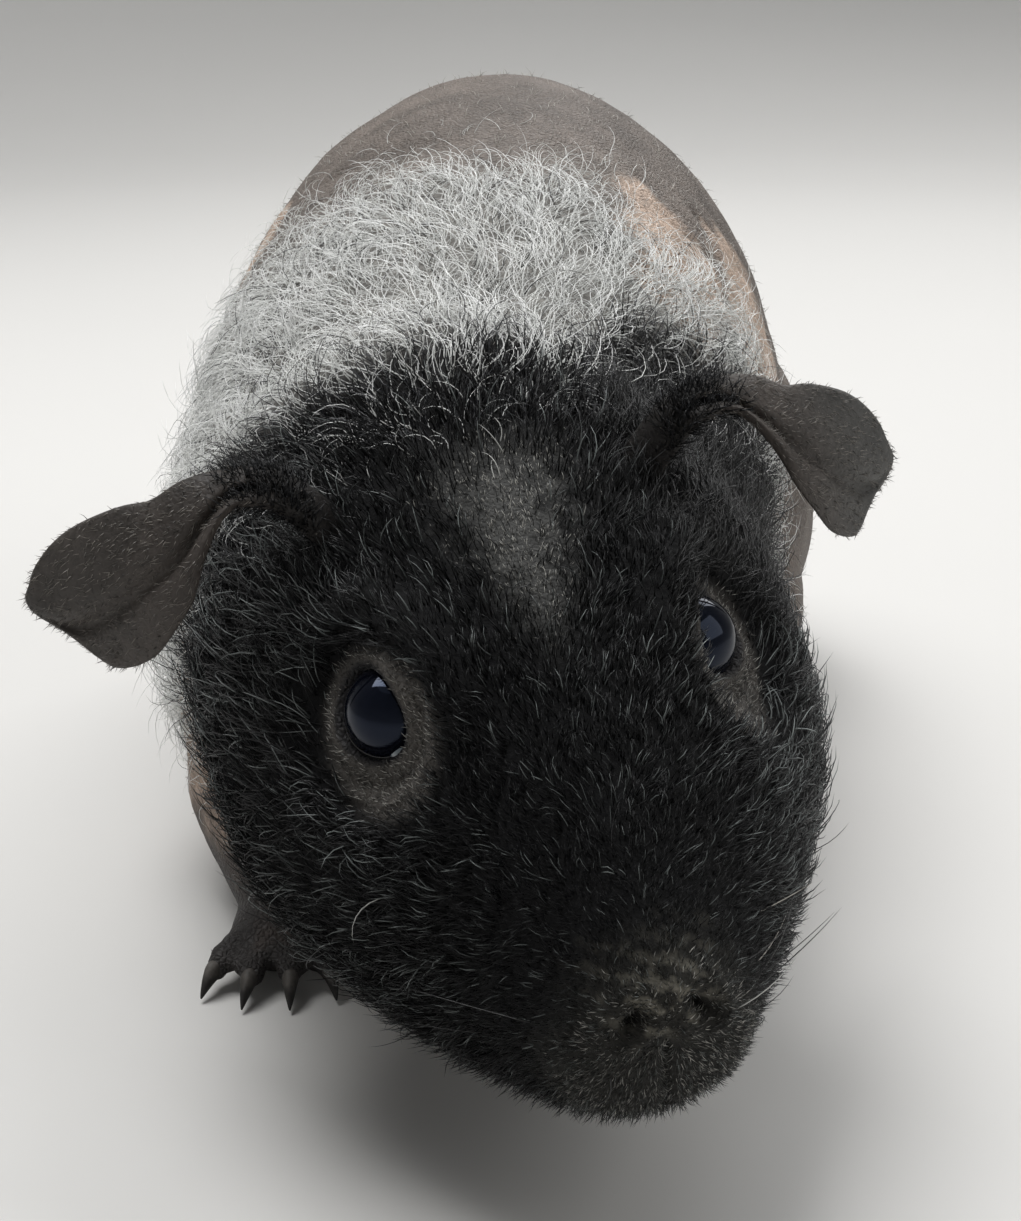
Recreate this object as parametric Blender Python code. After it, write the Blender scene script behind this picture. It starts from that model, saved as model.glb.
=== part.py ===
"""Skinny pig, a nearly hairless guinea pig, crouched with its head low and turned to its left.

Metres, +Z up. The animal faces -Y, so its left side is +X. The origin is on the floor under the
middle of the whole. The flesh is lofted and fused as one body, the curly mantle is rooted in it,
and thin cuts then part it into head, neck, torso, legs and feet.
"""

import math

import bmesh
import bpy
import numpy as np
from mathutils import Matrix, Vector

MM = 0.001
GAP = 0.3 * MM
FUSE_VOXEL = 1.4 * MM
FLESH_SHARE_KEPT = 0.036

# Shift that brings the floor point under the middle of the whole to the origin.
CENTRING = Vector((0.2 * MM, 5.6 * MM, 0))

# Torso: driving sizes, then sections as shares of them, from the rump forward.
REAR_Y = 100 * MM
TORSO_LENGTH = 166 * MM
BACK_HEIGHT = 98.6 * MM
BODY_HALF_WIDTH = 43 * MM
WIDEST_LEVEL = 0.44
BACK_ROUNDNESS = 1.9
BELLY_ROUNDNESS = 2.4
# (along, back height, belly height, half width, sideways shift)
TORSO_SECTIONS = (
    (0.000, 0.53, 0.47, 0.02, -0.02),
    (0.012, 0.66, 0.37, 0.30, -0.02),
    (0.045, 0.78, 0.25, 0.54, -0.02),
    (0.110, 0.895, 0.14, 0.77, -0.02),
    (0.210, 0.965, 0.06, 0.92, -0.02),
    (0.340, 1.00, 0.04, 0.98, -0.03),
    (0.490, 0.98, 0.04, 0.95, -0.07),
    (0.600, 0.93, 0.05, 0.90, -0.09),
    (0.700, 0.885, 0.09, 0.85, -0.10),
    (0.800, 0.835, 0.14, 0.79, -0.10),
    (0.900, 0.77, 0.21, 0.69, -0.08),
    (0.970, 0.69, 0.30, 0.50, -0.05),
    (1.000, 0.58, 0.42, 0.20, -0.03),
)

# Head: its own axes run to its left (X), back along the skull (Y) and up out of the brow (Z).
HEAD_CENTRE = Vector((3.5 * MM, -74.5 * MM, 40.6 * MM))
HEAD_PITCH = math.radians(27)
HEAD_TURN = math.radians(16)
HEAD_TILT = math.radians(-1)
HEAD_HALF_WIDTH = 33 * MM
BROW_HEIGHT = 26 * MM
JAW_DEPTH = 25 * MM
CHEEK_LEVEL = -7 * MM
BROW_ROUNDNESS = 1.75
JAW_ROUNDNESS = 2.1
# (distance ahead of the head's centre in mm, brow, jaw, half width as shares, level share)
HEAD_SECTIONS = (
    (38.9, 0.20, 0.02, 0.05, -0.4),
    (38.3, 0.36, 0.24, 0.22, -0.3),
    (36.0, 0.48, 0.41, 0.285, 0.0),
    (29.5, 0.61, 0.64, 0.415, 0.3),
    (20.0, 0.77, 0.87, 0.635, 0.7),
    (9.0, 0.90, 1.01, 0.86, 1.0),
    (-2.0, 0.98, 1.08, 0.99, 1.0),
    (-13.0, 1.02, 1.07, 1.03, 0.9),
    (-24.0, 1.02, 1.01, 1.01, 0.7),
    (-35.0, 0.97, 0.93, 0.92, 0.4),
    (-46.0, 0.84, 0.78, 0.78, 0.2),
    (-54.0, 0.56, 0.52, 0.50, 0.0),
    (-56.0, 0.20, 0.20, 0.16, 0.0),
)

# Eyes, in the head's axes: each in a shallow bare hollow.
EYE_PLACE = Vector((13.9 * MM, 0.4 * MM, 12.0 * MM))
EYE_FACING = Vector((0.79, -0.30, 0.53))
EYE_RADIUS = 5.2 * MM
HOLLOW_SIZE = (10.5 * MM, 8.5 * MM, 4.6 * MM)
HOLLOW_RISE = 7.0 * MM
LID_RADIUS = 4.9 * MM
LID_THICKNESS = 1.2 * MM
LID_STRETCH = 1.22
LID_RISE = 3.0 * MM

# Nose and mouth, in the head's axes.
NOSTRIL_PLACE = Vector((3.4 * MM, -37.2 * MM, 4.6 * MM))
NOSTRIL_SIZE = (1.0 * MM, 2.6 * MM, 1.9 * MM)
LIP_PLACE = Vector((4.2 * MM, -31.2 * MM, -3.4 * MM))
LIP_SIZE = (6.0 * MM, 5.6 * MM, 6.6 * MM)
CHIN_PLACE = Vector((0.0, -24.0 * MM, -12.5 * MM))
CHIN_SIZE = (7.0 * MM, 7.0 * MM, 5.0 * MM)
CLEFT_RADIUS = 0.8 * MM
MOUTH_RADIUS = 1.1 * MM

# Ears, in the head's axes: a drooping petal between its rear and its front edge, in mm.
EAR_THICKNESS = 1.2 * MM
EAR_RIM_THICKNESS = 0.7 * MM
# (rear edge x, y, z, front edge x, y, z, rise of the middle)
EAR_SECTIONS = (
    (14.0, 22.0, 18.0, 18.0, 13.0, 15.0, 0.4),
    (20.0, 23.0, 24.5, 24.5, 15.5, 20.5, 1.0),
    (27.0, 23.5, 25.3, 28.5, 14.5, 18.0, 1.6),
    (34.0, 24.0, 22.4, 31.8, 14.0, 13.0, 2.0),
    (40.5, 24.5, 18.0, 35.0, 14.5, 8.0, 1.8),
    (45.6, 24.5, 13.6, 39.2, 17.0, 5.2, 1.0),
    (47.4, 23.8, 10.8, 43.8, 20.4, 7.0, 0.3),
)

# Curly mantle over nape and shoulders.
MANTLE_ROWS = 7
MANTLE_FROM, MANTLE_TO = 0.56, 0.88
CURL_SPACING = 11.8 * MM
CURL_LENGTH = 13.5 * MM
CURL_WIDTH = 11.0 * MM
CURL_RISE = 3.7 * MM
CURL_SINK = 2.0 * MM
RANDOM_SEED = 11


def clear_scene():
    for obj in list(bpy.data.objects):
        bpy.data.objects.remove(obj)


def principled(name, colour, roughness):
    material = bpy.data.materials.new(name)
    material.use_nodes = True
    shader = material.node_tree.nodes["Principled BSDF"]
    shader.inputs["Base Color"].default_value = (*colour, 1)
    shader.inputs["Roughness"].default_value = roughness
    shader.inputs["Metallic"].default_value = 0
    return material


def mesh_object(name, points, faces):
    mesh = bpy.data.meshes.new(name)
    mesh.from_pydata([tuple(p) for p in points], [], faces)
    obj = bpy.data.objects.new(name, mesh)
    bpy.context.collection.objects.link(obj)
    return obj


def smooth_rows(rows, count):
    """Catmull-Rom curve through the rows of a table, as count rows spaced evenly over its spans."""
    rows = np.asarray(rows, float)
    ends = np.vstack((2 * rows[0] - rows[1], rows, 2 * rows[-1] - rows[-2]))
    place = np.linspace(0, len(rows) - 1, count)
    span = np.minimum(place.astype(int), len(rows) - 2)
    t = (place - span)[:, None]
    a, b, c, d = (ends[span + k] for k in range(4))
    return 0.5 * (2 * b + (c - a) * t + (2 * a - 5 * b + 4 * c - d) * t**2
                  + (3 * b - a - 3 * c + d) * t**3)


def loft(name, rings):
    """Closed skin over rings of points, all with the same count, with a fan at each end."""
    rings = np.asarray(rings)
    count, sides = rings.shape[:2]
    points = np.vstack((rings.reshape(-1, 3), rings[0].mean(0), rings[-1].mean(0)))
    faces = []
    for i in range(count - 1):
        for j in range(sides):
            k = (j + 1) % sides
            faces.append((i * sides + j, i * sides + k, (i + 1) * sides + k, (i + 1) * sides + j))
    first, last = count * sides, count * sides + 1
    for j in range(sides):
        k = (j + 1) % sides
        faces.append((first, k, j))
        faces.append((last, (count - 1) * sides + j, (count - 1) * sides + k))
    obj = mesh_object(name, points, faces)
    face_outwards(obj)
    return obj


def face_outwards(obj):
    work = bmesh.new()
    work.from_mesh(obj.data)
    bmesh.ops.recalc_face_normals(work, faces=work.faces)
    work.to_mesh(obj.data)
    work.free()


def superellipse(turn, half_width, up, down, up_power, down_power):
    """Section that is half_width wide at its level, up above it and down below it."""
    c, s = np.cos(turn), np.sin(turn)
    power = np.where(s >= 0, up_power, down_power)
    height = np.where(s >= 0, up, down)
    x = half_width * np.sign(c) * np.abs(c) ** (2 / power)
    z = height * np.sign(s) * np.abs(s) ** (2 / power)
    return x, z


def torso_point(along, turn):
    """Point of the torso's surface at a share of its length from the rump and a turn round it."""
    table = np.asarray(TORSO_SECTIONS)
    fine = smooth_rows(table, 400)
    row = [np.interp(along, fine[:, 0], fine[:, k]) for k in range(1, 5)]
    back, belly = row[0] * BACK_HEIGHT, row[1] * BACK_HEIGHT
    level = belly + WIDEST_LEVEL * (back - belly)
    x, z = superellipse(turn, row[2] * BODY_HALF_WIDTH, back - level, level - belly,
                        BACK_ROUNDNESS, BELLY_ROUNDNESS)
    y = REAR_Y - along * TORSO_LENGTH
    return np.stack((x + row[3] * BODY_HALF_WIDTH, y + 0 * x, z + level), -1)


def torso_loft():
    turn = np.linspace(0, 2 * math.pi, 48, endpoint=False)
    stations = smooth_rows(TORSO_SECTIONS, 60)[:, 0]
    return loft("torso_loft", [torso_point(s, turn) for s in stations])


def head_matrix():
    return (Matrix.Translation(HEAD_CENTRE) @ Matrix.Rotation(HEAD_PITCH, 4, "X")
            @ Matrix.Rotation(HEAD_TURN, 4, "Z") @ Matrix.Rotation(HEAD_TILT, 4, "Y"))


def head_loft():
    turn = np.linspace(0, 2 * math.pi, 48, endpoint=False)
    rings = []
    for ahead, brow, jaw, width, low in smooth_rows(HEAD_SECTIONS, 56):
        level = low * CHEEK_LEVEL
        x, z = superellipse(turn, width * HEAD_HALF_WIDTH, brow * BROW_HEIGHT - level,
                            jaw * JAW_DEPTH + level, BROW_ROUNDNESS, JAW_ROUNDNESS)
        rings.append(np.stack((x, np.full_like(x, -ahead * MM), z + level), -1))
    obj = loft("head_loft", rings)
    obj.data.transform(head_matrix())
    return obj


def ellipsoid(name, centre, radii, matrix=Matrix(), detail=3):
    work = bmesh.new()
    bmesh.ops.create_icosphere(work, subdivisions=detail, radius=1)
    place = matrix @ Matrix.Translation(centre) @ Matrix.Diagonal((*radii, 1))
    bmesh.ops.transform(work, matrix=place, verts=work.verts)
    mesh = bpy.data.meshes.new(name)
    work.to_mesh(mesh)
    work.free()
    obj = bpy.data.objects.new(name, mesh)
    bpy.context.collection.objects.link(obj)
    return obj


def tube(name, path, radii, sides=12, steps=4, flat=1.0, round_ends=True):
    """Round tube through the points of a path, with its radius blended between them."""
    rows = np.column_stack((np.asarray(path, float), radii))
    fine = smooth_rows(rows, steps * (len(rows) - 1) + 1)
    points, radius = fine[:, :3], fine[:, 3]
    tangent = np.gradient(points, axis=0)
    tangent /= np.linalg.norm(tangent, axis=1)[:, None]
    if round_ends:
        caps = [(0.0, 1.0), (-0.55, 0.8), (-0.9, 0.4)]
        start = [(points[0] + tangent[0] * radius[0] * k, radius[0] * r, tangent[0])
                 for k, r in reversed(caps[1:])]
        finish = [(points[-1] - tangent[-1] * radius[-1] * k, radius[-1] * r, tangent[-1])
                  for k, r in caps[1:]]
    else:
        start, finish = [], []
    stations = start + list(zip(points, radius, tangent)) + finish
    turn = np.linspace(0, 2 * math.pi, sides, endpoint=False)
    side = np.cross(stations[0][2], (0, 0, 1.0))
    if np.linalg.norm(side) < 0.1:
        side = np.array((1.0, 0, 0))
    rings = []
    for place, r, along in stations:
        side = side - along * side.dot(along)
        side = side / np.linalg.norm(side)
        up = np.cross(side, along)
        rings.append(place + r * (np.cos(turn)[:, None] * side + flat * np.sin(turn)[:, None] * up))
    return loft(name, rings)


def apply_modifiers(obj):
    graph = bpy.context.evaluated_depsgraph_get()
    mesh = bpy.data.meshes.new_from_object(obj.evaluated_get(graph))
    obj.modifiers.clear()
    obj.data = mesh
    return obj


def joined(name, pieces):
    """The pieces' meshes in one object, still as separate bodies."""
    work = bmesh.new()
    for piece in pieces:
        piece.data.transform(piece.matrix_world)
        work.from_mesh(piece.data)
        bpy.data.objects.remove(piece)
    mesh = bpy.data.meshes.new(name)
    work.to_mesh(mesh)
    work.free()
    obj = bpy.data.objects.new(name, mesh)
    bpy.context.collection.objects.link(obj)
    return obj


def fused(name, pieces):
    """One smooth body from overlapping pieces: remeshed, relaxed, then thinned."""
    obj = joined(name, pieces)
    remesh = obj.modifiers.new("fuse", "REMESH")
    remesh.mode = "VOXEL"
    remesh.voxel_size = FUSE_VOXEL
    relax = obj.modifiers.new("relax", "SMOOTH")
    relax.factor = 0.5
    relax.iterations = 9
    thin = obj.modifiers.new("thin", "DECIMATE")
    thin.ratio = FLESH_SHARE_KEPT
    thin.use_collapse_triangulate = True
    return apply_modifiers(obj)


def largest_body(obj):
    """Keeps only the closed surface that holds the most volume, without folded flaps."""
    work = bmesh.new()
    work.from_mesh(obj.data)
    bmesh.ops.triangulate(work, faces=work.faces)
    twins = {}
    for face in work.faces:
        twins.setdefault(frozenset(face.verts), []).append(face)
    flaps = [face for pair in twins.values() if len(pair) > 1 for face in pair]
    bmesh.ops.delete(work, geom=flaps, context="FACES")
    todo, bodies = set(work.verts), []
    while todo:
        seed = todo.pop()
        body, edge = {seed}, [seed]
        while edge:
            for link in edge.pop().link_edges:
                for vert in link.verts:
                    if vert not in body:
                        body.add(vert)
                        edge.append(vert)
        todo -= body
        bodies.append(body)

    def volume(body):
        faces = {face for vert in body for face in vert.link_faces}
        return sum(f.verts[0].co.dot(f.verts[1].co.cross(f.verts[2].co)) for f in faces) / 6

    keep = max(bodies, key=volume)
    bmesh.ops.delete(work, geom=[v for v in work.verts if v not in keep], context="VERTS")
    work.to_mesh(obj.data)
    work.free()
    return obj


def combine(obj, others, operation, solver="MANIFOLD"):
    """Boolean of obj with a collection of closed meshes, applied, with the others removed."""
    group = bpy.data.collections.new("operands")
    bpy.context.scene.collection.children.link(group)
    for other in others:
        for user in list(other.users_collection):
            user.objects.unlink(other)
        group.objects.link(other)
    join = obj.modifiers.new("combine", "BOOLEAN")
    join.operation = operation
    join.solver = solver
    join.operand_type = "COLLECTION"
    join.collection = group
    bpy.context.view_layer.update()
    apply_modifiers(obj)
    for other in list(group.objects):
        bpy.data.objects.remove(other)
    bpy.data.collections.remove(group)
    return largest_body(obj)


def copy_of(obj, name):
    twin = bpy.data.objects.new(name, obj.data.copy())
    bpy.context.collection.objects.link(twin)
    return twin


def swollen(obj, by):
    """Copy of a closed mesh with every point moved out along its normal."""
    twin = copy_of(obj, obj.name + "_clear")
    mesh = twin.data
    normals = [v.normal.copy() for v in mesh.vertices]
    for vert, normal in zip(mesh.vertices, normals):
        vert.co += normal * by
    return twin


def block(name, low, high, matrix=Matrix()):
    work = bmesh.new()
    bmesh.ops.create_cube(work, size=1)
    centre = [(a + b) / 2 for a, b in zip(low, high)]
    size = [b - a for a, b in zip(low, high)]
    place = matrix @ Matrix.Translation(centre) @ Matrix.Diagonal((*size, 1))
    bmesh.ops.transform(work, matrix=place, verts=work.verts)
    mesh = bpy.data.meshes.new(name)
    work.to_mesh(mesh)
    work.free()
    obj = bpy.data.objects.new(name, mesh)
    bpy.context.collection.objects.link(obj)
    return obj


def part_off(whole, name, region, region_clear):
    """Takes the share of the whole inside a region off as its own object, with a gap round it."""
    piece = copy_of(whole, name)
    combine(piece, [region], "INTERSECT")
    combine(whole, [region_clear], "DIFFERENCE")
    return piece


# Limbs: (side, paw X, paw Y, elbow X, elbow Y) for the front, mirrored sizes for the hind.
FORE_PAWS = {
    "right": {"paw": (-27.8, -41.0), "elbow": (-33.8, -12.0), "toe_out": -1},
    "left": {"paw": (18.0, -38.0), "elbow": (27.0, -10.0), "toe_out": 1},
}
PAW_SIZE = (6.4 * MM, 7.8 * MM, 5.8 * MM)
TOE_RADIUS = 1.9 * MM
TOE_SHAPE = ((0.0, 3.6, 1.0), (0.45, 4.4, 0.98), (0.85, 3.0, 0.80), (1.00, 2.2, 0.58),
             (1.26, 1.9, 0.44), (1.50, 0.7, 0.14))
FORE_TOES = 4
HIND_TOES = 3
HIND_X = 34 * MM
HIND_HEEL_Y = 74 * MM
HIND_TOE_Y = 36 * MM


def fore_limb(side):
    """Upper arm and forearm as fusing pieces."""
    px, py = (v * MM for v in FORE_PAWS[side]["paw"])
    ex, ey = (v * MM for v in FORE_PAWS[side]["elbow"])
    out = FORE_PAWS[side]["toe_out"]
    return [
        ellipsoid("arm", (ex - out * 1 * MM, ey + 2 * MM, 27 * MM), (11 * MM, 17 * MM, 20 * MM)),
        tube("forearm", [(ex, ey + 3 * MM, 17 * MM), (ex, ey - 8 * MM, 14 * MM),
                         (px + out * 1 * MM, py + 6 * MM, 7.5 * MM)],
             (8.5 * MM, 7.4 * MM, 5.4 * MM)),
        ellipsoid("palm", (px, py, 4.6 * MM), PAW_SIZE),
    ]


def hind_limb(side):
    """Thigh, shank and the long flat foot as fusing pieces."""
    out = 1 if side == "left" else -1
    x = out * HIND_X
    thigh_turn = Matrix.Translation((x * 0.93, 56 * MM, 32 * MM)) @ Matrix.Rotation(
        math.radians(-20), 4, "X")
    return [
        ellipsoid("thigh", (0, 0, 0), (16 * MM, 31 * MM, 27 * MM), thigh_turn),
        ellipsoid("knee", (x * 1.03, 40 * MM, 20 * MM), (10 * MM, 15 * MM, 15 * MM)),
        tube("sole", [(x, HIND_HEEL_Y, 5 * MM), (x * 1.01, 58 * MM, 4.4 * MM),
                      (x * 1.02, HIND_TOE_Y + 7 * MM, 4.2 * MM)], (5.2 * MM, 5.2 * MM, 5.6 * MM)),
    ]


def toes(side, front):
    """Toes that end in claws, fanned from the front of a foot and bent down to the floor."""
    out = FORE_PAWS[side]["toe_out"]
    if front:
        px, py = (v * MM for v in FORE_PAWS[side]["paw"])
        count, root_y, length, fan = FORE_TOES, py - 3.0 * MM, 7.0 * MM, 0.17
    else:
        px, py = out * HIND_X * 1.02, HIND_TOE_Y + 6 * MM
        count, root_y, length, fan = HIND_TOES, py - 2.5 * MM, 9.0 * MM, 0.20
    pieces = []
    for i in range(count):
        share = i - (count - 1) / 2
        heading = share * fan + out * 0.06
        inner = 1 - 0.10 * abs(share)
        step = Vector((math.sin(heading), -math.cos(heading), 0))
        root = Vector((px + share * 3.1 * MM, root_y + 0.9 * MM * abs(share), 0))
        path = [root + step * length * inner * along + Vector((0, 0, up * MM))
                for along, up, thick in TOE_SHAPE]
        radii = [TOE_RADIUS * thick for along, up, thick in TOE_SHAPE]
        pieces.append(tube("toe", path, radii, 6, 1, round_ends=False))
    return pieces


def muzzle():
    place = head_matrix()
    pieces = [ellipsoid("chin", CHIN_PLACE, CHIN_SIZE, place)]
    for out in (-1, 1):
        lip = Vector((out * LIP_PLACE.x, LIP_PLACE.y, LIP_PLACE.z))
        pieces.append(ellipsoid("lip", lip, LIP_SIZE, place))
    return pieces


def flesh():
    pieces = [torso_loft(), head_loft(), *muzzle()]
    for side in ("right", "left"):
        pieces += fore_limb(side) + hind_limb(side)
    return fused("flesh", pieces)


def curl(root, normal, lie, length, width):
    """Rounded lock that leaves the skin, arches over along its lie and turns down at its tip."""
    side = np.cross(normal, lie)
    rings = []
    shape = ((-0.10, -CURL_SINK, 0.80, 0.36), (0.28, 0.86 * CURL_RISE, 1.00, 0.32),
             (0.70, 0.95 * CURL_RISE, 0.78, 0.24), (1.00, 0.40 * CURL_RISE, 0.24, 0.12))
    for along, lift, wide, thick in shape:
        middle = root + lie * along * length + normal * lift
        middle = middle + side * 0.14 * length * math.sin(3 * along)
        w, t = wide * width / 2, thick * width / 2
        slope = normal * (1 - 0.55 * along) + lie * 0.9 * (along - 0.45)
        rings.append([middle + side * w, middle + slope * t, middle - side * w, middle - slope * t])
    return loft("curl", rings)


def mantle():
    """Rows of curls over nape and shoulders, staggered and turned a little at random."""
    rng = np.random.default_rng(RANDOM_SEED)
    to_head = head_matrix().inverted()
    pieces = []
    for row, along in enumerate(np.linspace(MANTLE_FROM, MANTLE_TO, MANTLE_ROWS)):
        ring = torso_point(along, np.linspace(0, math.pi, 60))
        girth = np.linalg.norm(np.diff(ring, axis=0), axis=1).sum()
        count = int(girth / CURL_SPACING)
        for i in range(count):
            turn = (i + 0.5 + 0.5 * (row % 2) + rng.uniform(-0.25, 0.25)) / count * math.pi * 1.16
            turn -= 0.08 * math.pi
            at = along + rng.uniform(-0.012, 0.012)
            here = torso_point(at, turn)
            if (to_head @ Vector(here)).y < 41 * MM:
                continue
            ahead = torso_point(at + 0.01, turn) - here
            around = torso_point(at, turn + 0.02) - here
            normal = np.cross(ahead, around)
            normal = normal / np.linalg.norm(normal)
            if normal.dot(here - np.array((0, here[1], 45 * MM))) < 0:
                normal = -normal
            lie = -ahead / np.linalg.norm(ahead) + around / np.linalg.norm(around) * (
                rng.uniform(-0.7, 0.7))
            lie -= normal * lie.dot(normal)
            lie /= np.linalg.norm(lie)
            size = rng.uniform(0.85, 1.15)
            pieces.append(curl(here, normal, lie, CURL_LENGTH * size, CURL_WIDTH * size))
    return pieces


def ear_points(mirror, inner):
    """Grid of one face of an ear: rows from root to tip, columns from rear edge to front edge."""
    rows, columns = 15, 11
    table = smooth_rows(EAR_SECTIONS, rows) * MM
    t = np.linspace(0, 1, columns)[:, None]
    grid = []
    for i, row in enumerate(table):
        rear, front, rise = row[:3], row[3:6], row[6]
        before, after = table[max(i - 1, 0)], table[min(i + 1, rows - 1)]
        along = (after[:3] + after[3:6] - before[:3] - before[3:6]) / 2
        outward = np.cross(along, front - rear)
        outward /= np.linalg.norm(outward)
        if outward[2] + outward[0] < 0:
            outward = -outward
        s = i / (rows - 1)
        thick = EAR_THICKNESS + (EAR_RIM_THICKNESS - EAR_THICKNESS) * s
        bow = 4 * t * (1 - t)
        edge = thick * (0.55 + 0.45 * bow) / 2
        points = rear + (front - rear) * t + outward * (rise * bow + (-edge if inner else edge))
        points[:, 0] *= mirror
        grid.append(points)
    return np.array(grid)


def ear(side):
    """Cupped petal, closed between its two faces."""
    mirror = 1 if side == "left" else -1
    outer, inner = ear_points(mirror, False), ear_points(mirror, True)
    rings = np.concatenate((outer, inner[:, ::-1]), axis=1)
    obj = loft(f"ear_{side}", rings)
    obj.data.transform(head_matrix())
    return obj


def eye_pose(side):
    """Matrix that puts an eye's own Z along its gaze and its Y up the lids' long way."""
    out = 1 if side == "left" else -1
    facing = Vector((out * EYE_FACING.x, EYE_FACING.y, EYE_FACING.z)).normalized()
    place = Vector((out * EYE_PLACE.x, EYE_PLACE.y, EYE_PLACE.z))
    turn = facing.to_track_quat("Z", "Y").to_matrix().to_4x4()
    return head_matrix() @ Matrix.Translation(place) @ turn


def lid_ring(side):
    turn = np.linspace(0, 2 * math.pi, 19)
    path = [(LID_RADIUS * math.cos(t), LID_RADIUS * LID_STRETCH * math.sin(t), LID_RISE)
            for t in turn[:-1]]
    sides = 6
    around = np.linspace(0, 2 * math.pi, sides, endpoint=False)
    points, faces = [], []
    for i, place in enumerate(path):
        out = Vector((place[0], place[1], 0)).normalized()
        for a in around:
            points.append(Vector(place) + LID_THICKNESS * (out * math.cos(a)
                          + Vector((0, 0, 1)) * math.sin(a)))
    count = len(path)
    for i in range(count):
        for j in range(sides):
            k, m = (j + 1) % sides, (i + 1) % count
            faces.append((i * sides + j, m * sides + j, m * sides + k, i * sides + k))
    obj = mesh_object("lids", points, faces)
    obj.data.transform(eye_pose(side))
    face_outwards(obj)
    return obj


def eyeball(side, extra=0.0):
    work = bmesh.new()
    bmesh.ops.create_uvsphere(work, u_segments=16, v_segments=9, radius=EYE_RADIUS + extra)
    bmesh.ops.transform(work, matrix=eye_pose(side), verts=work.verts)
    mesh = bpy.data.meshes.new(f"eye_{side}")
    work.to_mesh(mesh)
    work.free()
    obj = bpy.data.objects.new(f"eye_{side}", mesh)
    bpy.context.collection.objects.link(obj)
    return obj


def hollow(side):
    """Shallow dish that is scooped out of the coat round an eye."""
    place = eye_pose(side) @ Matrix.Translation((0, -1.0 * MM, HOLLOW_RISE))
    return ellipsoid("hollow", (0, 0, 0), (HOLLOW_SIZE[1], HOLLOW_SIZE[0], HOLLOW_SIZE[2]), place)


def mouth_cutters():
    """Grooves for the nostrils, the cleft of the lip and the line of the mouth."""
    place = head_matrix()
    pieces = []
    for out in (-1, 1):
        centre = Vector((out * NOSTRIL_PLACE.x, NOSTRIL_PLACE.y, NOSTRIL_PLACE.z))
        slant = Matrix.Translation(centre) @ Matrix.Rotation(out * math.radians(-35), 4, "Y")
        pieces.append(ellipsoid("nostril", (0, 0, 0), NOSTRIL_SIZE, place @ slant, 2))
    cleft = [Vector((0, y * MM, z * MM)) for y, z in ((-38.6, 1.5), (-37.8, -3), (-34.5, -8))]
    mouth = [Vector((x * MM, y * MM, z * MM)) for x, y, z in (
        (-12.2, -26, -12), (-10.3, -30.3, -10.3), (-8, -33.6, -9), (-4, -36.8, -8),
        (0, -37.4, -7.6), (4, -36.8, -8), (8, -33.6, -9), (10.3, -30.3, -10.3), (12.2, -26, -12))]
    for name, path, radius in (("cleft", cleft, CLEFT_RADIUS), ("mouth", mouth, MOUTH_RADIUS)):
        points = [place @ p for p in path]
        pieces.append(tube(name, points, [radius] * len(points), 6, 4))
    return pieces


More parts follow.
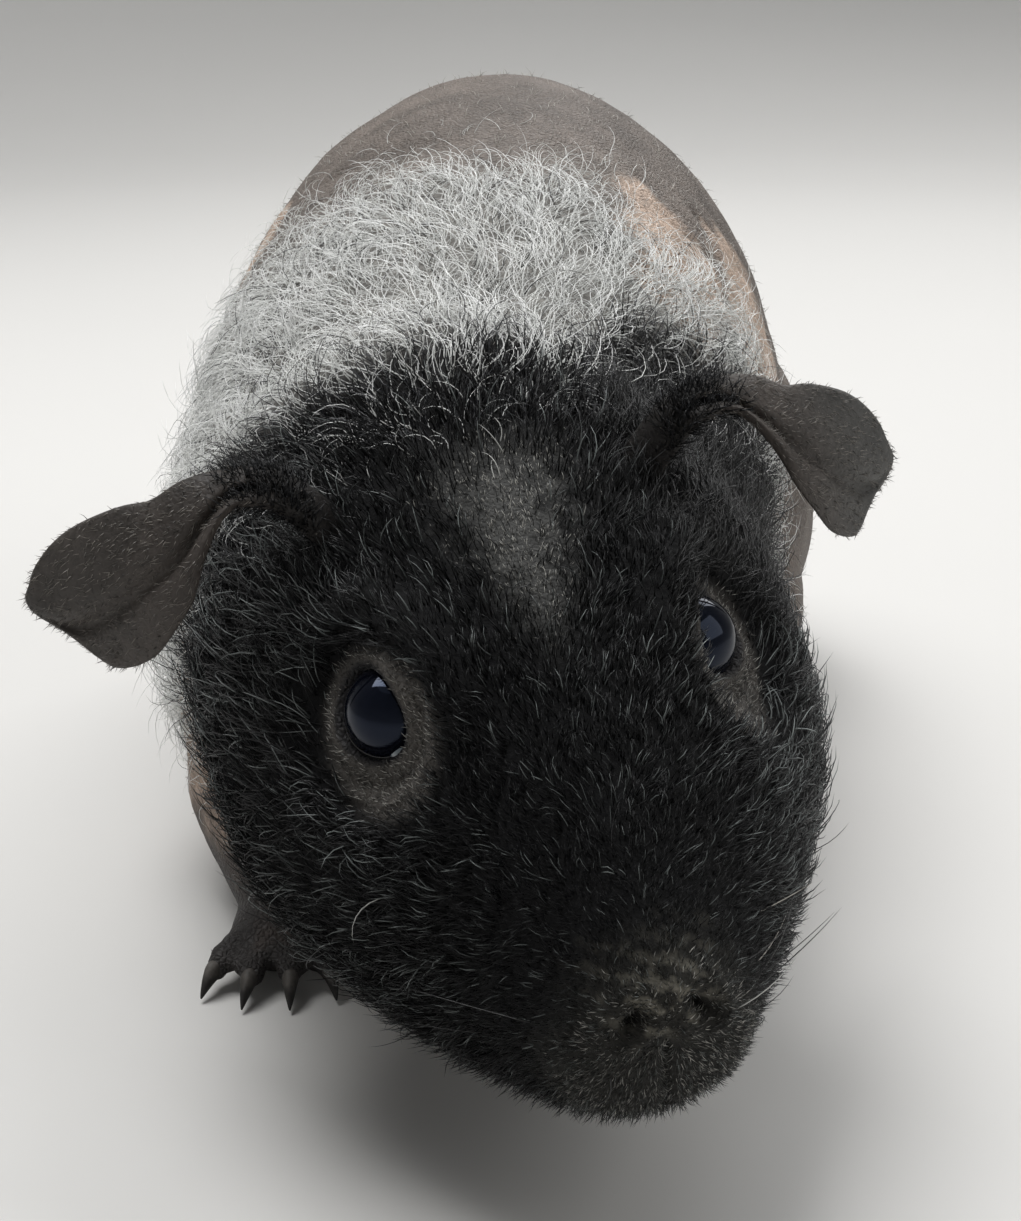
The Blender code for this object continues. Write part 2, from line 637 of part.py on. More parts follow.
def build():
    clear_scene()
    skin = principled("bare_skin", (0.16, 0.13, 0.115), 0.6)
    leg_skin = principled("leg_skin", (0.07, 0.06, 0.055), 0.65)
    ear_skin = principled("ear_skin", (0.085, 0.07, 0.062), 0.6)
    black = principled("black_fur", (0.012, 0.012, 0.013), 0.8)
    silver = principled("silver_curls", (0.42, 0.43, 0.42), 0.85)
    eye_black = principled("eye_black", (0.008, 0.009, 0.02), 0.05)

    whole = flesh()
    combine(whole, mantle(), "UNION")
    combine(whole, [block("floor", (-0.2, -0.2, -0.05), (0.2, 0.2, 0))], "DIFFERENCE")

    place = head_matrix()
    behind = 37 * MM
    below = -29 * MM
    head_region = ((-0.08, -0.08, below), (0.08, behind, 0.10))
    head_clear = ((-0.08, -0.08, below - GAP), (0.08, behind + GAP, 0.10))
    head = part_off(whole, "head", block("r", *head_region, place),
                    block("r", *head_clear, place))

    nodes = {"head": head}
    for side in ("right", "left"):
        ex, ey = (v * MM for v in FORE_PAWS[side]["elbow"])
        px, py = (v * MM for v in FORE_PAWS[side]["paw"])
        middle = ((ex + px) / 2, (ey + py) / 2 + 4 * MM, 12 * MM)
        lean = Matrix.Translation(middle)
        size = (13 * MM, 34 * MM, 26 * MM)
        grown = tuple(s + GAP for s in size)
        nodes[f"front_leg_{side}"] = part_off(
            whole, f"front_leg_{side}", ellipsoid("r", (0, 0, 0), size, lean),
            ellipsoid("r", (0, 0, 0), grown, lean))
    for side in ("right", "left"):
        out = 1 if side == "left" else -1
        lean = Matrix.Translation((out * 39 * MM, 54 * MM, 27 * MM)) @ Matrix.Rotation(
            math.radians(-18), 4, "X")
        size = (22 * MM, 38 * MM, 33 * MM)
        grown = tuple(s + GAP for s in size)
        nodes[f"hind_leg_{side}"] = part_off(
            whole, f"hind_leg_{side}", ellipsoid("r", (0, 0, 0), size, lean),
            ellipsoid("r", (0, 0, 0), grown, lean))
    neck_back = -26 * MM
    nodes["neck"] = part_off(
        whole, "neck", block("r", (-0.1, -0.2, -0.05), (0.1, neck_back, 0.2)),
        block("r", (-0.1, -0.2, -0.05), (0.1, neck_back + GAP, 0.2)))
    whole.name = "torso"
    nodes["torso"] = whole

    for side in ("right", "left"):
        petal = ear(side)
        combine(petal, [swollen(head, GAP)], "DIFFERENCE", "MANIFOLD")
        nodes[f"ear_{side}"] = petal
        combine(head, [hollow(side)], "DIFFERENCE")
        combine(head, [lid_ring(side)], "UNION")
        combine(head, [eyeball(side, GAP)], "DIFFERENCE")
        nodes[f"eye_{side}"] = eyeball(side)
    combine(head, mouth_cutters(), "DIFFERENCE")

    for side in ("right", "left"):
        combine(nodes[f"front_leg_{side}"], toes(side, True), "UNION")
        combine(nodes[f"hind_leg_{side}"], toes(side, False), "UNION")

    for name, obj in nodes.items():
        if name.startswith("eye"):
            worn = eye_black
        elif name.startswith("ear"):
            worn = ear_skin
        elif name.startswith("front_leg"):
            worn = leg_skin
        elif name == "head":
            worn = black
        elif name == "neck":
            worn = silver
        else:
            worn = skin
        obj.data.transform(Matrix.Translation(CENTRING))
        obj.data.materials.clear()
        obj.data.materials.append(worn)
        obj.data.shade_smooth()
        obj.data.set_sharp_from_angle(angle=math.radians(50))


build()
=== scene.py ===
"""Skinny pig, a nearly hairless guinea pig, as a still, life-size museum model.

One skin replaces the solids of the flesh. Over it lie short black curly fur on the head, a pale
curly mantle on nape and shoulders, and a little fuzz elsewhere, all as closed tapered strands.
Shapes are worked out in millimetres and put into meshes in metres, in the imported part's frame: the
floor is z = 0, the animal faces -Y and its left side is +X.
"""

import math

import bmesh
import bpy
import numpy as np
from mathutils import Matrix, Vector


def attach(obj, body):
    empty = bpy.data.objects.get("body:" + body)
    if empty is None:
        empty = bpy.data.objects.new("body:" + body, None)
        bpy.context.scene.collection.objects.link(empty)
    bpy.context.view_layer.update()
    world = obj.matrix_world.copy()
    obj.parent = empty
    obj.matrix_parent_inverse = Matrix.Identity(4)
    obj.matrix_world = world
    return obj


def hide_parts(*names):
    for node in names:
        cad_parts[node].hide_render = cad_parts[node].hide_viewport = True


bl_info = {
    "name": "Skinny Pig Model",
    "version": (1, 0, 0),
    "blender": (4, 5, 0),
    "location": "3D View > Sidebar > Skinny Pig",
    "description": "Builds skin, eyes, ears, claws and coat of a skinny pig over its packed solids",
    "category": "Object",
}

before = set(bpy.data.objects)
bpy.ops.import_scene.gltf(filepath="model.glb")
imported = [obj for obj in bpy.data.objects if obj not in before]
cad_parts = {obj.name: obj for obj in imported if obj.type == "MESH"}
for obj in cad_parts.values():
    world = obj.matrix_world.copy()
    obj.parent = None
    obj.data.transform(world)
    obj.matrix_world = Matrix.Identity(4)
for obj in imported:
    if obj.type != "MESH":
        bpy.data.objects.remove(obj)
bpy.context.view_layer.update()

MM = 0.001
OUT = {"right": -1, "left": 1}

# Shift of every shape that brings the middle of the whole animal over the origin.
CENTRING = np.array((0.2, 5.6, 0.0))

# How finely the lofts are cut: rows along torso and head, and points round them.
TORSO_ROWS, HEAD_ROWS, LOFT_SIDES = 90, 84, 96

# Torso sizes and sections: along from the rump, back, belly, half width and sideways shift,
# all as shares.
REAR_Y, TORSO_LENGTH, BACK_HEIGHT, BODY_HALF_WIDTH = 100.0, 166.0, 98.6, 43.0
WIDEST_LEVEL, BACK_ROUNDNESS, BELLY_ROUNDNESS = 0.44, 1.9, 2.4
TORSO_SECTIONS = (
    (0.000, 0.53, 0.47, 0.02, -0.02),
    (0.012, 0.66, 0.37, 0.30, -0.02),
    (0.045, 0.78, 0.25, 0.54, -0.02),
    (0.110, 0.895, 0.14, 0.77, -0.02),
    (0.210, 0.965, 0.06, 0.92, -0.02),
    (0.340, 1.00, 0.04, 0.98, -0.03),
    (0.490, 0.98, 0.04, 0.95, -0.07),
    (0.600, 0.93, 0.05, 0.90, -0.09),
    (0.700, 0.885, 0.09, 0.85, -0.10),
    (0.800, 0.835, 0.14, 0.79, -0.10),
    (0.900, 0.77, 0.21, 0.69, -0.08),
    (0.970, 0.69, 0.30, 0.50, -0.05),
    (1.000, 0.58, 0.42, 0.20, -0.03),
)

# Head sizes and sections: ahead of its centre, then brow, jaw, width and level as shares.
HEAD_HALF_WIDTH, BROW_HEIGHT, JAW_DEPTH, CHEEK_LEVEL = 33.0, 26.0, 25.0, -7.0
BROW_ROUNDNESS, JAW_ROUNDNESS = 1.75, 2.1
HEAD_SECTIONS = (
    (38.9, 0.20, 0.02, 0.05, -0.4),
    (38.3, 0.36, 0.24, 0.22, -0.3),
    (36.0, 0.48, 0.41, 0.285, 0.0),
    (29.5, 0.61, 0.64, 0.415, 0.3),
    (20.0, 0.77, 0.87, 0.635, 0.7),
    (9.0, 0.90, 1.01, 0.86, 1.0),
    (-2.0, 0.98, 1.08, 0.99, 1.0),
    (-13.0, 1.02, 1.07, 1.03, 0.9),
    (-24.0, 1.02, 1.01, 1.01, 0.7),
    (-35.0, 0.97, 0.93, 0.92, 0.4),
    (-46.0, 0.84, 0.78, 0.78, 0.2),
    (-54.0, 0.56, 0.52, 0.50, 0.0),
    (-56.0, 0.20, 0.20, 0.16, 0.0),
)
EYE_PLACE = np.array((13.9, 0.4, 12.0))
EYE_FACING = np.array((0.79, -0.30, 0.53))
EYE_SHIFT = {"right": (0.9, -0.1, -0.1), "left": (0.8, 0.5, 0.0)}
LID_STRETCH = {"right": 1.18, "left": 1.06}
LIP_PLACE, LIP_SIZE = np.array((4.2, -31.2, -3.4)), (6.0, 5.6, 6.6)
CHIN_PLACE, CHIN_SIZE = np.array((0.0, -24.0, -12.5)), (7.0, 7.0, 5.0)
NOSTRIL = np.array((3.3, -37.6, 8.0))

# Eyes: ball and its raised front, rim of tear film, membrane in the corner, and the bare ring by
# how far below and ahead of the eye its middle lies, its half height and its half length.
EYE_RADIUS, CORNEA_RISE = 5.0, 0.25
FILM_REACH, FILM_LEVEL, OPENING_DIP = 3.82, 3.3, 1.3
CORNER_TURN, CORNER_SIZE = {"right": -1.8, "left": -1.35}, (1.0, 1.9, 0.4)
RING_SHAPE = {"right": (0.3, 7.5), "left": (1.7, 6.6)}
RING_AHEAD, RING_HALF_LENGTH = 2.4, 9.2

# Rise of the skin over an eye's plane, by distance from the gaze: socket, lid, crease and fold.
LID_PROFILE = ((0, -1.5), (2.9, -1.5), (3.6, 2.5), (3.8, 3.4), (4.05, 3.9), (4.5, 4.2),
               (5.1, 4.15), (5.9, 3.5), (6.4, 3.15), (7.0, 3.4), (7.9, 3.75), (8.6, 3.6),
               (9.5, 3.85), (12.0, 4.4))

# Ears in the head's axes: rear edge, front edge and rise of the middle, from root to tip, and
# how far each tip swings from them.
EAR_SECTIONS = (
    (14.0, 22.0, 18.0, 18.0, 13.0, 15.0, 0.4),
    (20.0, 23.0, 24.5, 24.5, 15.5, 20.5, 1.0),
    (27.0, 23.5, 25.3, 28.5, 14.5, 18.0, 1.6),
    (34.0, 24.0, 22.4, 31.8, 14.0, 13.0, 2.0),
    (40.5, 24.5, 18.0, 35.0, 14.5, 8.0, 1.8),
    (45.6, 24.5, 13.6, 39.2, 17.0, 5.2, 1.0),
    (47.4, 23.8, 10.8, 43.8, 20.4, 7.0, 0.3),
)
EAR_SWING = {"right": (-0.6, 2.2, 2.2), "left": (-1.2, -0.4, -0.6)}

# Limbs: paw x, y and elbow x, y of the front legs, the hind feet, radii of their forms, each
# foot's toes by count, root ahead of the paw, length and fan, and toes and claws by how far along
# they are, height and thickness.
FORE_PAWS = {"right": (-27.8, -41.0, -33.8, -12.0), "left": (18.0, -38.0, 27.0, -10.0)}
HIND_X, HIND_HEEL_Y, HIND_TOE_Y = 34.0, 74.0, 36.0
UPPER_ARM, PALM, THIGH, KNEE = (11, 17, 20), (6.0, 6.4, 4.9), (16, 31, 27), (10, 15, 15)
FOREARM, SOLE, SOLE_LEVEL = (8.5, 7.4, 5.4), (4.3, 5.0, 5.4), 4.4
THIGH_LEAN = 20
TOE_RADIUS, TOE_SPACING = 1.9, 3.1
FRONT_TOES, HIND_TOES = (4, 3.0, 7.2, 0.25), (3, 2.5, 9.0, 0.24)
TOE_SHAPE = ((-0.1, 3.4, 0.85), (0.25, 4.1, 0.84), (0.5, 4.2, 0.76), (0.75, 3.5, 0.9),
             (0.95, 2.5, 0.78), (1.08, 2.1, 0.45))
CLAW_SHAPE = ((0.86, 3.0, 0.42), (1.0, 2.9, 0.52), (1.15, 2.4, 0.42), (1.3, 1.7, 0.28),
              (1.42, 1.0, 0.14), (1.48, 0.6, 0.05))

# Colours of skin and claws, as linear red, green and blue.
BODY_GREY, BELLY_PINK, PATCH_PINK = (0.145, 0.122, 0.106), (0.27, 0.19, 0.155), (0.50, 0.38, 0.30)
UNDER_MANTLE, UNDER_NAPE = (0.26, 0.255, 0.24), (0.02, 0.019, 0.019)
FRONT_FOOT, HIND_FOOT = (0.03, 0.027, 0.026), (0.075, 0.058, 0.05)
MASK, WEDGE, RING = (0.004, 0.004, 0.0044), (0.042, 0.042, 0.040), (0.062, 0.056, 0.050)
LID, MUZZLE, NOSE_SPOTS = (0.010, 0.009, 0.010), (0.0155, 0.0150, 0.0135), (0.30, 0.28, 0.23)
# The pale grey of the ear tips is a painted highlight; its strength for each ear, below, is far
# greater on the left ear.
EAR, EAR_TIP_SHEEN, EAR_ROOT = (0.049, 0.041, 0.036), (0.086, 0.086, 0.082), (0.016, 0.014, 0.013)
TIP_SHEEN_STRENGTH = {"right": 0.2, "left": 0.85}
CLAW, CLAW_TOP = (0.022, 0.02, 0.019), (0.11, 0.10, 0.09)

# Pale patches of the skin: centre, radii, seed of the ragged edge and strength.
PALE_PATCHES = (
    ((23, 3, 80), (9, 15, 12), 12, 1.0),
    ((38, 25, 67), (14, 14, 15), 13, 1.0),
    ((-40, 26, 80), (9, 9, 8), 14, 1.0),
    ((-41, -13, 22), (12, 17, 15), 15, 0.8),
)

# Coat on the head by place along it, ahead negative: depth, density and length of its hairs.
FUR_DEPTH = (-40, -34, -26, -12, 10), (0.5, 0.7, 1.2, 2.0, 2.4)
FUR_DENSITY = (-40, -34, -24, -8, 24), (2.0, 1.9, 1.5, 1.1, 1.0)
FUR_LENGTH = (-40, -34, -24, -8, 6, 24), (0.8, 1.4, 2.1, 2.7, 3.4, 4.4)

# Small hairs: least and most length, width, least and most lift and bend, spread of the twist,
# stations, and how deep the root stands.
STUBBLE = ((0.4, 1.1), 0.1, (0.5, 1.2), (0.1, 0.8), 0.4, 3, 0.15)
EAR_FUZZ = ((0.5, 1.4), 0.09, (0.3, 0.9), (0.2, 0.9), 0.4, 3, 0.15)
EAR_ROOT_FUR = ((1.2, 3.0), 0.13, (0.5, 1.2), (0.3, 1.2), 0.7, 4, 0.2)
WHISKERS = ((8, 16), 0.16, (0.5, 1.0), (0.1, 0.5), 0.15, 9, 1.5)

# How many there are of each, and of the long hairs.
STUBBLE_COUNT, EAR_FUZZ_COUNT, EAR_ROOT_COUNT, LONG_COUNT, WHISKER_COUNT = 5200, 3200, 1100, 420, 30

# Finishes of hair: strength of the streaks, and gloss.
HAIR_FINISHES = {"face_fur_finish": (0.3, 0.28), "mantle_finish": (0.2, 0.45),
                 "fuzz_finish": (0.2, 0.5), "long_finish": (0.2, 0.6)}

# Unwrap of the coat as a sheet round an axis: where it starts along y and how far it reaches, for
# the head and for the body, with the body's axis, the margin, the used part and a patch's size.
HEAD_SHEET, BODY_SHEET, BODY_AXIS = (50, 120), (110, 225), (0, 0, 45)
SHEET_MARGIN, SHEET_USED, PATCH_SIZE = 0.005, 0.985, 0.003

# Sockets of a Mix node that mixes colours.
MIX_FIRST, MIX_SECOND, MIX_RESULT = 6, 7, 2

# Stage: camera, what the lights aim at, and their place, size and share of the key's power.
SENSOR_WIDTH, CAMERA_PLACE, CAMERA_DOWN = 36.0, (0.0002, -0.2734, 0.1254), 18.6
LIGHT_AIM = (0, -0.03, 0.05)
LIGHTS = {"key": ((-0.20, 0.10, 0.80), 0.5, 1.0), "fill": ((0.60, -0.30, 0.50), 0.6, 0.26),
          "rim": ((0.25, 0.60, 0.60), 0.5, 0.45)}
SKY_COLOUR = (0.93, 0.96, 1.0, 1)
FLOOR_FLAT, FLOOR_BEND, WALL_TOP = 700, 900, 3000.0


# Shared shapes, in millimetres.

def smoothstep(low, high, value):
    """0 at low, 1 at high, with level ends."""
    t = np.clip((value - low) / (high - low), 0, 1)
    return t * t * (3 - 2 * t)


def bell(value, middle, width):
    """1 at the middle and falling off on both sides, as e to the minus square of the distance."""
    return np.exp(-((value - middle) / width) ** 2)


def unit(vectors):
    """Vectors divided by their lengths."""
    return vectors / np.maximum(np.linalg.norm(vectors, axis=-1, keepdims=True), 1e-9)


def turned(axis, degrees):
    """Turn about one of the axes 0, 1 or 2 as a 3 by 3 matrix."""
    c, s = math.cos(math.radians(degrees)), math.sin(math.radians(degrees))
    matrix = np.eye(3)
    a, b = (axis + 1) % 3, (axis + 2) % 3
    matrix[a, a], matrix[a, b], matrix[b, a], matrix[b, b] = c, -s, s, c
    return matrix


HEAD_CENTRE = np.array((3.5, -74.5, 40.6)) + CENTRING
HEAD_TURN = turned(0, 27) @ turned(2, 16) @ turned(1, -1)


def to_world(points):
    """Points of the head's axes turned with the head and carried to its centre."""
    return points @ HEAD_TURN.T + HEAD_CENTRE


def to_head(points):
    """The way back: the distance from the head's centre, along the head's own axes."""
    return (points - HEAD_CENTRE) @ HEAD_TURN


def mirrored(points, side):
    """Points of the left side, with x turned round for the right side."""
    return np.array(points) * (OUT[side], 1, 1)


def smooth_noise(points, size, seed, layers=3):
    """Sines along random directions, each layer half as long and half as strong, about -1 to 1."""
    rng = np.random.default_rng(seed)
    total, weight = np.zeros(len(points)), 0.0
    for layer in range(layers):
        for _ in range(5):
            wave = unit(rng.normal(size=3)) * 2 * math.pi / (size * rng.uniform(0.7, 1.4))
            total += 0.5**layer * np.sin(points @ wave * 2**layer + rng.uniform(0, 6.3))
        weight += 0.5**layer
    return total / (weight * 2.2)


def smooth_rows(rows, count):
    """Curve through the rows of a table, with each span a cubic of its four nearest rows."""
    rows = np.asarray(rows, float)
    ends = np.vstack((2 * rows[0] - rows[1], rows, 2 * rows[-1] - rows[-2]))
    place = np.linspace(0, len(rows) - 1, count)
    span = np.minimum(place.astype(int), len(rows) - 2)
    t = (place - span)[:, None]
    a, b, c, d = (ends[span + k] for k in range(4))
    return 0.5 * (2 * b + (c - a) * t + (2 * a - 5 * b + 4 * c - d) * t**2
                  + (3 * b - a - 3 * c + d) * t**3)


def superellipse(turn, half_width, up, down, up_power, down_power):
    """Section half_width wide at its level, up above it and down below it, by powers of sine."""
    c, s = np.cos(turn), np.sin(turn)
    power = np.where(s >= 0, up_power, down_power)
    height = np.where(s >= 0, up, down)
    return (half_width * np.sign(c) * np.abs(c) ** (2 / power),
            height * np.sign(s) * np.abs(s) ** (2 / power))


def outward(points, faces):
    """Faces turned round where the signed volume under them comes out negative."""
    a, b, c = (points[faces[:, k]] for k in range(3))
    return faces if np.einsum("ij,ij->", a, np.cross(b, c)) > 0 else faces[:, ::-1]


def closed_loft(rings):
    """Triangles between neighbouring rings of points, and a fan to the middle of each end ring."""
    count, sides = rings.shape[:2]
    points = np.concatenate((rings.reshape(-1, 3), rings[:1].mean(1), rings[-1:].mean(1)))
    row = np.arange(count - 1)[:, None] * sides
    j = np.arange(sides)
    k = (j + 1) % sides
    a, b, c, d = row + j, row + k, row + sides + k, row + sides + j
    strips = np.stack((a, b, c, a, c, d), -1).reshape(-1, 3)
    first = np.stack((np.full(sides, count * sides), k, j), -1)
    tail = (count - 1) * sides
    last = np.stack((np.full(sides, count * sides + 1), tail + j, tail + k), -1)
    return points, outward(points, np.concatenate((strips, first, last)))


def merged(surfaces):
    """Surfaces as one pair of arrays, each one's faces counted on from the points before it."""
    offsets = np.cumsum([0] + [len(points) for points, _ in surfaces[:-1]])
    return (np.concatenate([points for points, _ in surfaces]),
            np.concatenate([faces + start for (_, faces), start in zip(surfaces, offsets)]))


def blob(centre, radii, turn=np.eye(3), rows=26, sides=32):
    """Ellipsoid: rings at even angles from pole to pole, scaled, turned and placed."""
    lat = np.linspace(0.02, 0.98, rows)[:, None] * math.pi
    lon = np.linspace(0, 2 * math.pi, sides, endpoint=False)
    ball = np.stack((np.sin(lat) * np.cos(lon), np.sin(lat) * np.sin(lon),
                     np.cos(lat) + 0 * lon), -1)
    points, faces = closed_loft(ball * np.array(radii))
    return points @ turn.T + np.array(centre), faces


def tube(path, radii, sides=20, steps=8, flat=1.0, caps=True):
    """Round section carried along a smooth path with a blended radius, with domed ends."""
    rows = np.column_stack((np.asarray(path, float), radii))
    fine = smooth_rows(rows, steps * (len(rows) - 1) + 1)
    middle, radius = fine[:, :3], fine[:, 3]
    along = unit(np.gradient(middle, axis=0))
    if caps:
        reach = np.array((0.99, 0.9, 0.7, 0.4))
        scale = np.sqrt(1 - reach**2)
        head = middle[0] - along[0] * radius[0] * reach[:, None]
        foot = middle[-1] + along[-1] * radius[-1] * reach[::-1, None]
        middle = np.concatenate((head, middle, foot))
        radius = np.concatenate((radius[0] * scale, radius, radius[-1] * scale[::-1]))
        along = np.concatenate((np.repeat(along[:1], 4, 0), along, np.repeat(along[-1:], 4, 0)))
    side = unit(np.cross(along, (0.01, 0.02, 1.0)))
    up = np.cross(side, along)
    turn = np.linspace(0, 2 * math.pi, sides, endpoint=False)[None, :, None]
    ring = np.cos(turn) * side[:, None] + flat * np.sin(turn) * up[:, None]
    return closed_loft(middle[:, None] + radius[:, None, None] * ring)


# Meshes and materials.

def mesh_from(name, points, faces):
    """Mesh object from whole arrays of points in millimetres and of three- or four-sided faces."""
    mesh = bpy.data.meshes.new(name)
    mesh.vertices.add(len(points))
    mesh.vertices.foreach_set("co", (points * MM).astype(np.float32).ravel())
    mesh.loops.add(faces.size)
    mesh.loops.foreach_set("vertex_index", faces.astype(np.int32).ravel())
    mesh.polygons.add(len(faces))
    starts = np.arange(len(faces), dtype=np.int32) * faces.shape[1]
    mesh.polygons.foreach_set("loop_start", starts)
    mesh.polygons.foreach_set("use_smooth", np.ones(len(faces), bool))
    mesh.update(calc_edges=True)
    obj = bpy.data.objects.new(name, mesh)
    bpy.context.scene.collection.objects.link(obj)
    return obj


def paint(obj, tint, bare=None):
    """Point attribute Tint: each point's own colour, with how bare its skin is as the alpha."""
    layer = obj.data.color_attributes.new("Tint", "FLOAT_COLOR", "POINT")
    bare = np.ones(len(tint)) if bare is None else bare
    rgba = np.column_stack((tint, bare)).astype(np.float32)
    layer.data.foreach_set("color", rgba.ravel())


def dressed(obj, material, nodes=()):
    """Gives a finished piece its material, its body and the solids it stands for."""
    obj.data.materials.append(material)
    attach(obj, "root")
    if nodes:
        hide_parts(*nodes)
    return obj


def node(tree, kind, links=(), **values):
    """New node with named settings or input values, and links from other nodes' outputs."""
    made = tree.nodes.new(kind)
    for name, value in values.items():
        socket = name.replace("_", " ")
        if hasattr(made, name):
            setattr(made, name, value)
        else:
            made.inputs[socket].default_value = value
    for socket, source in dict(links).items():
        tree.links.new(source, made.inputs[socket])
    return made


def group_tree(name, inputs, outputs):
    """Shader node group with its sockets: inputs as (name, kind, default), outputs as (name, kind)."""
    tree = bpy.data.node_groups.new(name, "ShaderNodeTree")
    for label, kind, default in inputs:
        socket = tree.interface.new_socket(label, in_out="INPUT", socket_type=f"NodeSocket{kind}")
        socket.default_value = default
    for label, kind in outputs:
        tree.interface.new_socket(label, in_out="OUTPUT", socket_type=f"NodeSocket{kind}")
    return tree, tree.nodes.new("NodeGroupInput"), tree.nodes.new("NodeGroupOutput")


def combined(tree, operation, first, second):
    """Result of a Math node on two values, each a socket or a number."""
    made = node(tree, "ShaderNodeMath", operation=operation)
    for socket, value in zip(made.inputs, (first, second)):
        if isinstance(value, bpy.types.NodeSocket):
            tree.links.new(value, socket)
        else:
            socket.default_value = value
    return made.outputs[0]


def ranged(tree, value, low, high, to_low=0.0, to_high=1.0):
    """Result of a Map Range node: low becomes to_low and high becomes to_high, clamped."""
    return node(tree, "ShaderNodeMapRange", {"Value": value}, From_Min=low, From_Max=high,
                To_Min=to_low, To_Max=to_high).outputs[0]


def noise(tree, place, **values):
    """Result of a Noise node, around a half."""
    return node(tree, "ShaderNodeTexNoise", {"Vector": place}, **values).outputs["Fac"]


def scaled_tint(tree, tint, change, strength):
    """A tint times one plus a change from -1 to 1 of some strength."""
    share = combined(tree, "ADD", combined(tree, "MULTIPLY", change, strength), 1.0)
    return node(tree, "ShaderNodeVectorMath", {0: tint, "Scale": share},
                operation="SCALE").outputs[0]


def skin_grain():
    """Bare skin: colour mottled by two noises and flecked where cells and noise agree, roughness
    by bareness and fine noise, and height as fine noise plus creases between cells."""
    if "SkinGrain" in bpy.data.node_groups:
        return bpy.data.node_groups["SkinGrain"]
    tree, given, out = group_tree(
        "SkinGrain",
        [("Tint", "Color", (0.1, 0.1, 0.1, 1)), ("Bare", "Float", 1.0),
         ("Mottle", "Float", 0.3), ("Flecks", "Float", 0.3), ("Grain", "Float", 1.0)],
        [("Color", "Color"), ("Roughness", "Float"), ("Height", "Float")])
    bare = given.outputs["Bare"]
    place = node(tree, "ShaderNodeTexCoord").outputs["Object"]
    soft = noise(tree, place, Scale=160.0, Detail=5.0)
    fine = noise(tree, place, Scale=1500.0, Detail=3.0)
    mottle = ranged(tree, combined(tree, "ADD", soft, fine), 0.7, 1.3, -1.0, 1.0)
    tinted = scaled_tint(tree, given.outputs["Tint"], mottle, given.outputs["Mottle"])
    cells = node(tree, "ShaderNodeTexVoronoi", {"Vector": place}, Scale=1300.0, Randomness=1.0)
    fleck = ranged(tree, cells.outputs["Distance"], 0.16, 0.06)
    flecked = combined(tree, "MULTIPLY", fleck, ranged(tree, fine, 0.5, 0.62))
    shown = combined(tree, "MULTIPLY", flecked, bare)
    amount = combined(tree, "MULTIPLY", shown, given.outputs["Flecks"])
    pale = node(tree, "ShaderNodeMix", {"Factor": amount, MIX_FIRST: tinted}, data_type="RGBA")
    pale.inputs[MIX_SECOND].default_value = (0.42, 0.38, 0.33, 1)
    tree.links.new(pale.outputs[MIX_RESULT], out.inputs["Color"])
    dull = ranged(tree, bare, 0.0, 1.0, 0.95, 0.5)
    rough = combined(tree, "ADD", dull, combined(tree, "MULTIPLY", fine, 0.16))
    tree.links.new(rough, out.inputs["Roughness"])
    creases = node(tree, "ShaderNodeTexVoronoi", {"Vector": place}, feature="DISTANCE_TO_EDGE",
                   Scale=1500.0)
    crease = ranged(tree, creases.outputs["Distance"], 0.0, 0.3, 0.0, 0.55)
    bumps = combined(tree, "ADD", fine, combined(tree, "MULTIPLY", crease, bare))
    height = combined(tree, "MULTIPLY", bumps, given.outputs["Grain"])
    tree.links.new(height, out.inputs["Height"])
    return tree


def new_material(name):
    """Material with its node tree and its Principled shader."""
    material = bpy.data.materials.new(name)
    material.use_nodes = True
    return material, material.node_tree, material.node_tree.nodes["Principled BSDF"]


def tint_of(tree):
    """Node that reads the Tint attribute."""
    return node(tree, "ShaderNodeAttribute", attribute_name="Tint")


def skin_material(name, mottle, flecks, grain, depth):
    """Bare skin: the piece's own tint through the grain group, with its height as a fine bump."""
    material, tree, shader = new_material(name)
    group = node(tree, "ShaderNodeGroup", node_tree=skin_grain())
    tint = tint_of(tree)
    tree.links.new(tint.outputs["Color"], group.inputs["Tint"])
    tree.links.new(tint.outputs["Alpha"], group.inputs["Bare"])
    for label, value in (("Mottle", mottle), ("Flecks", flecks), ("Grain", grain)):
        group.inputs[label].default_value = value
    bump = node(tree, "ShaderNodeBump", {"Height": group.outputs["Height"]}, Distance=depth)
    tree.links.new(group.outputs["Color"], shader.inputs["Base Color"])
    tree.links.new(group.outputs["Roughness"], shader.inputs["Roughness"])
    tree.links.new(bump.outputs["Normal"], shader.inputs["Normal"])
    shader.inputs["Specular IOR Level"].default_value = 0.3
    return material


def hair_shade():
    """Colour and roughness along hairs: the tint, streaked a little by fine noise."""
    if "HairShade" in bpy.data.node_groups:
        return bpy.data.node_groups["HairShade"]
    tree, given, out = group_tree(
        "HairShade", [("Tint", "Color", (0.1, 0.1, 0.1, 1)), ("Streak", "Float", 0.3)],
        [("Color", "Color"), ("Roughness", "Float")])
    place = node(tree, "ShaderNodeTexCoord").outputs["Object"]
    fine = noise(tree, place, Scale=900.0, Detail=2.0)
    streaks = ranged(tree, fine, 0.3, 0.7, -1.0, 1.0)
    tinted = scaled_tint(tree, given.outputs["Tint"], streaks, given.outputs["Streak"])
    tree.links.new(tinted, out.inputs["Color"])
    tree.links.new(ranged(tree, fine, 0.0, 1.0, 0.22, 0.42), out.inputs["Roughness"])
    return tree


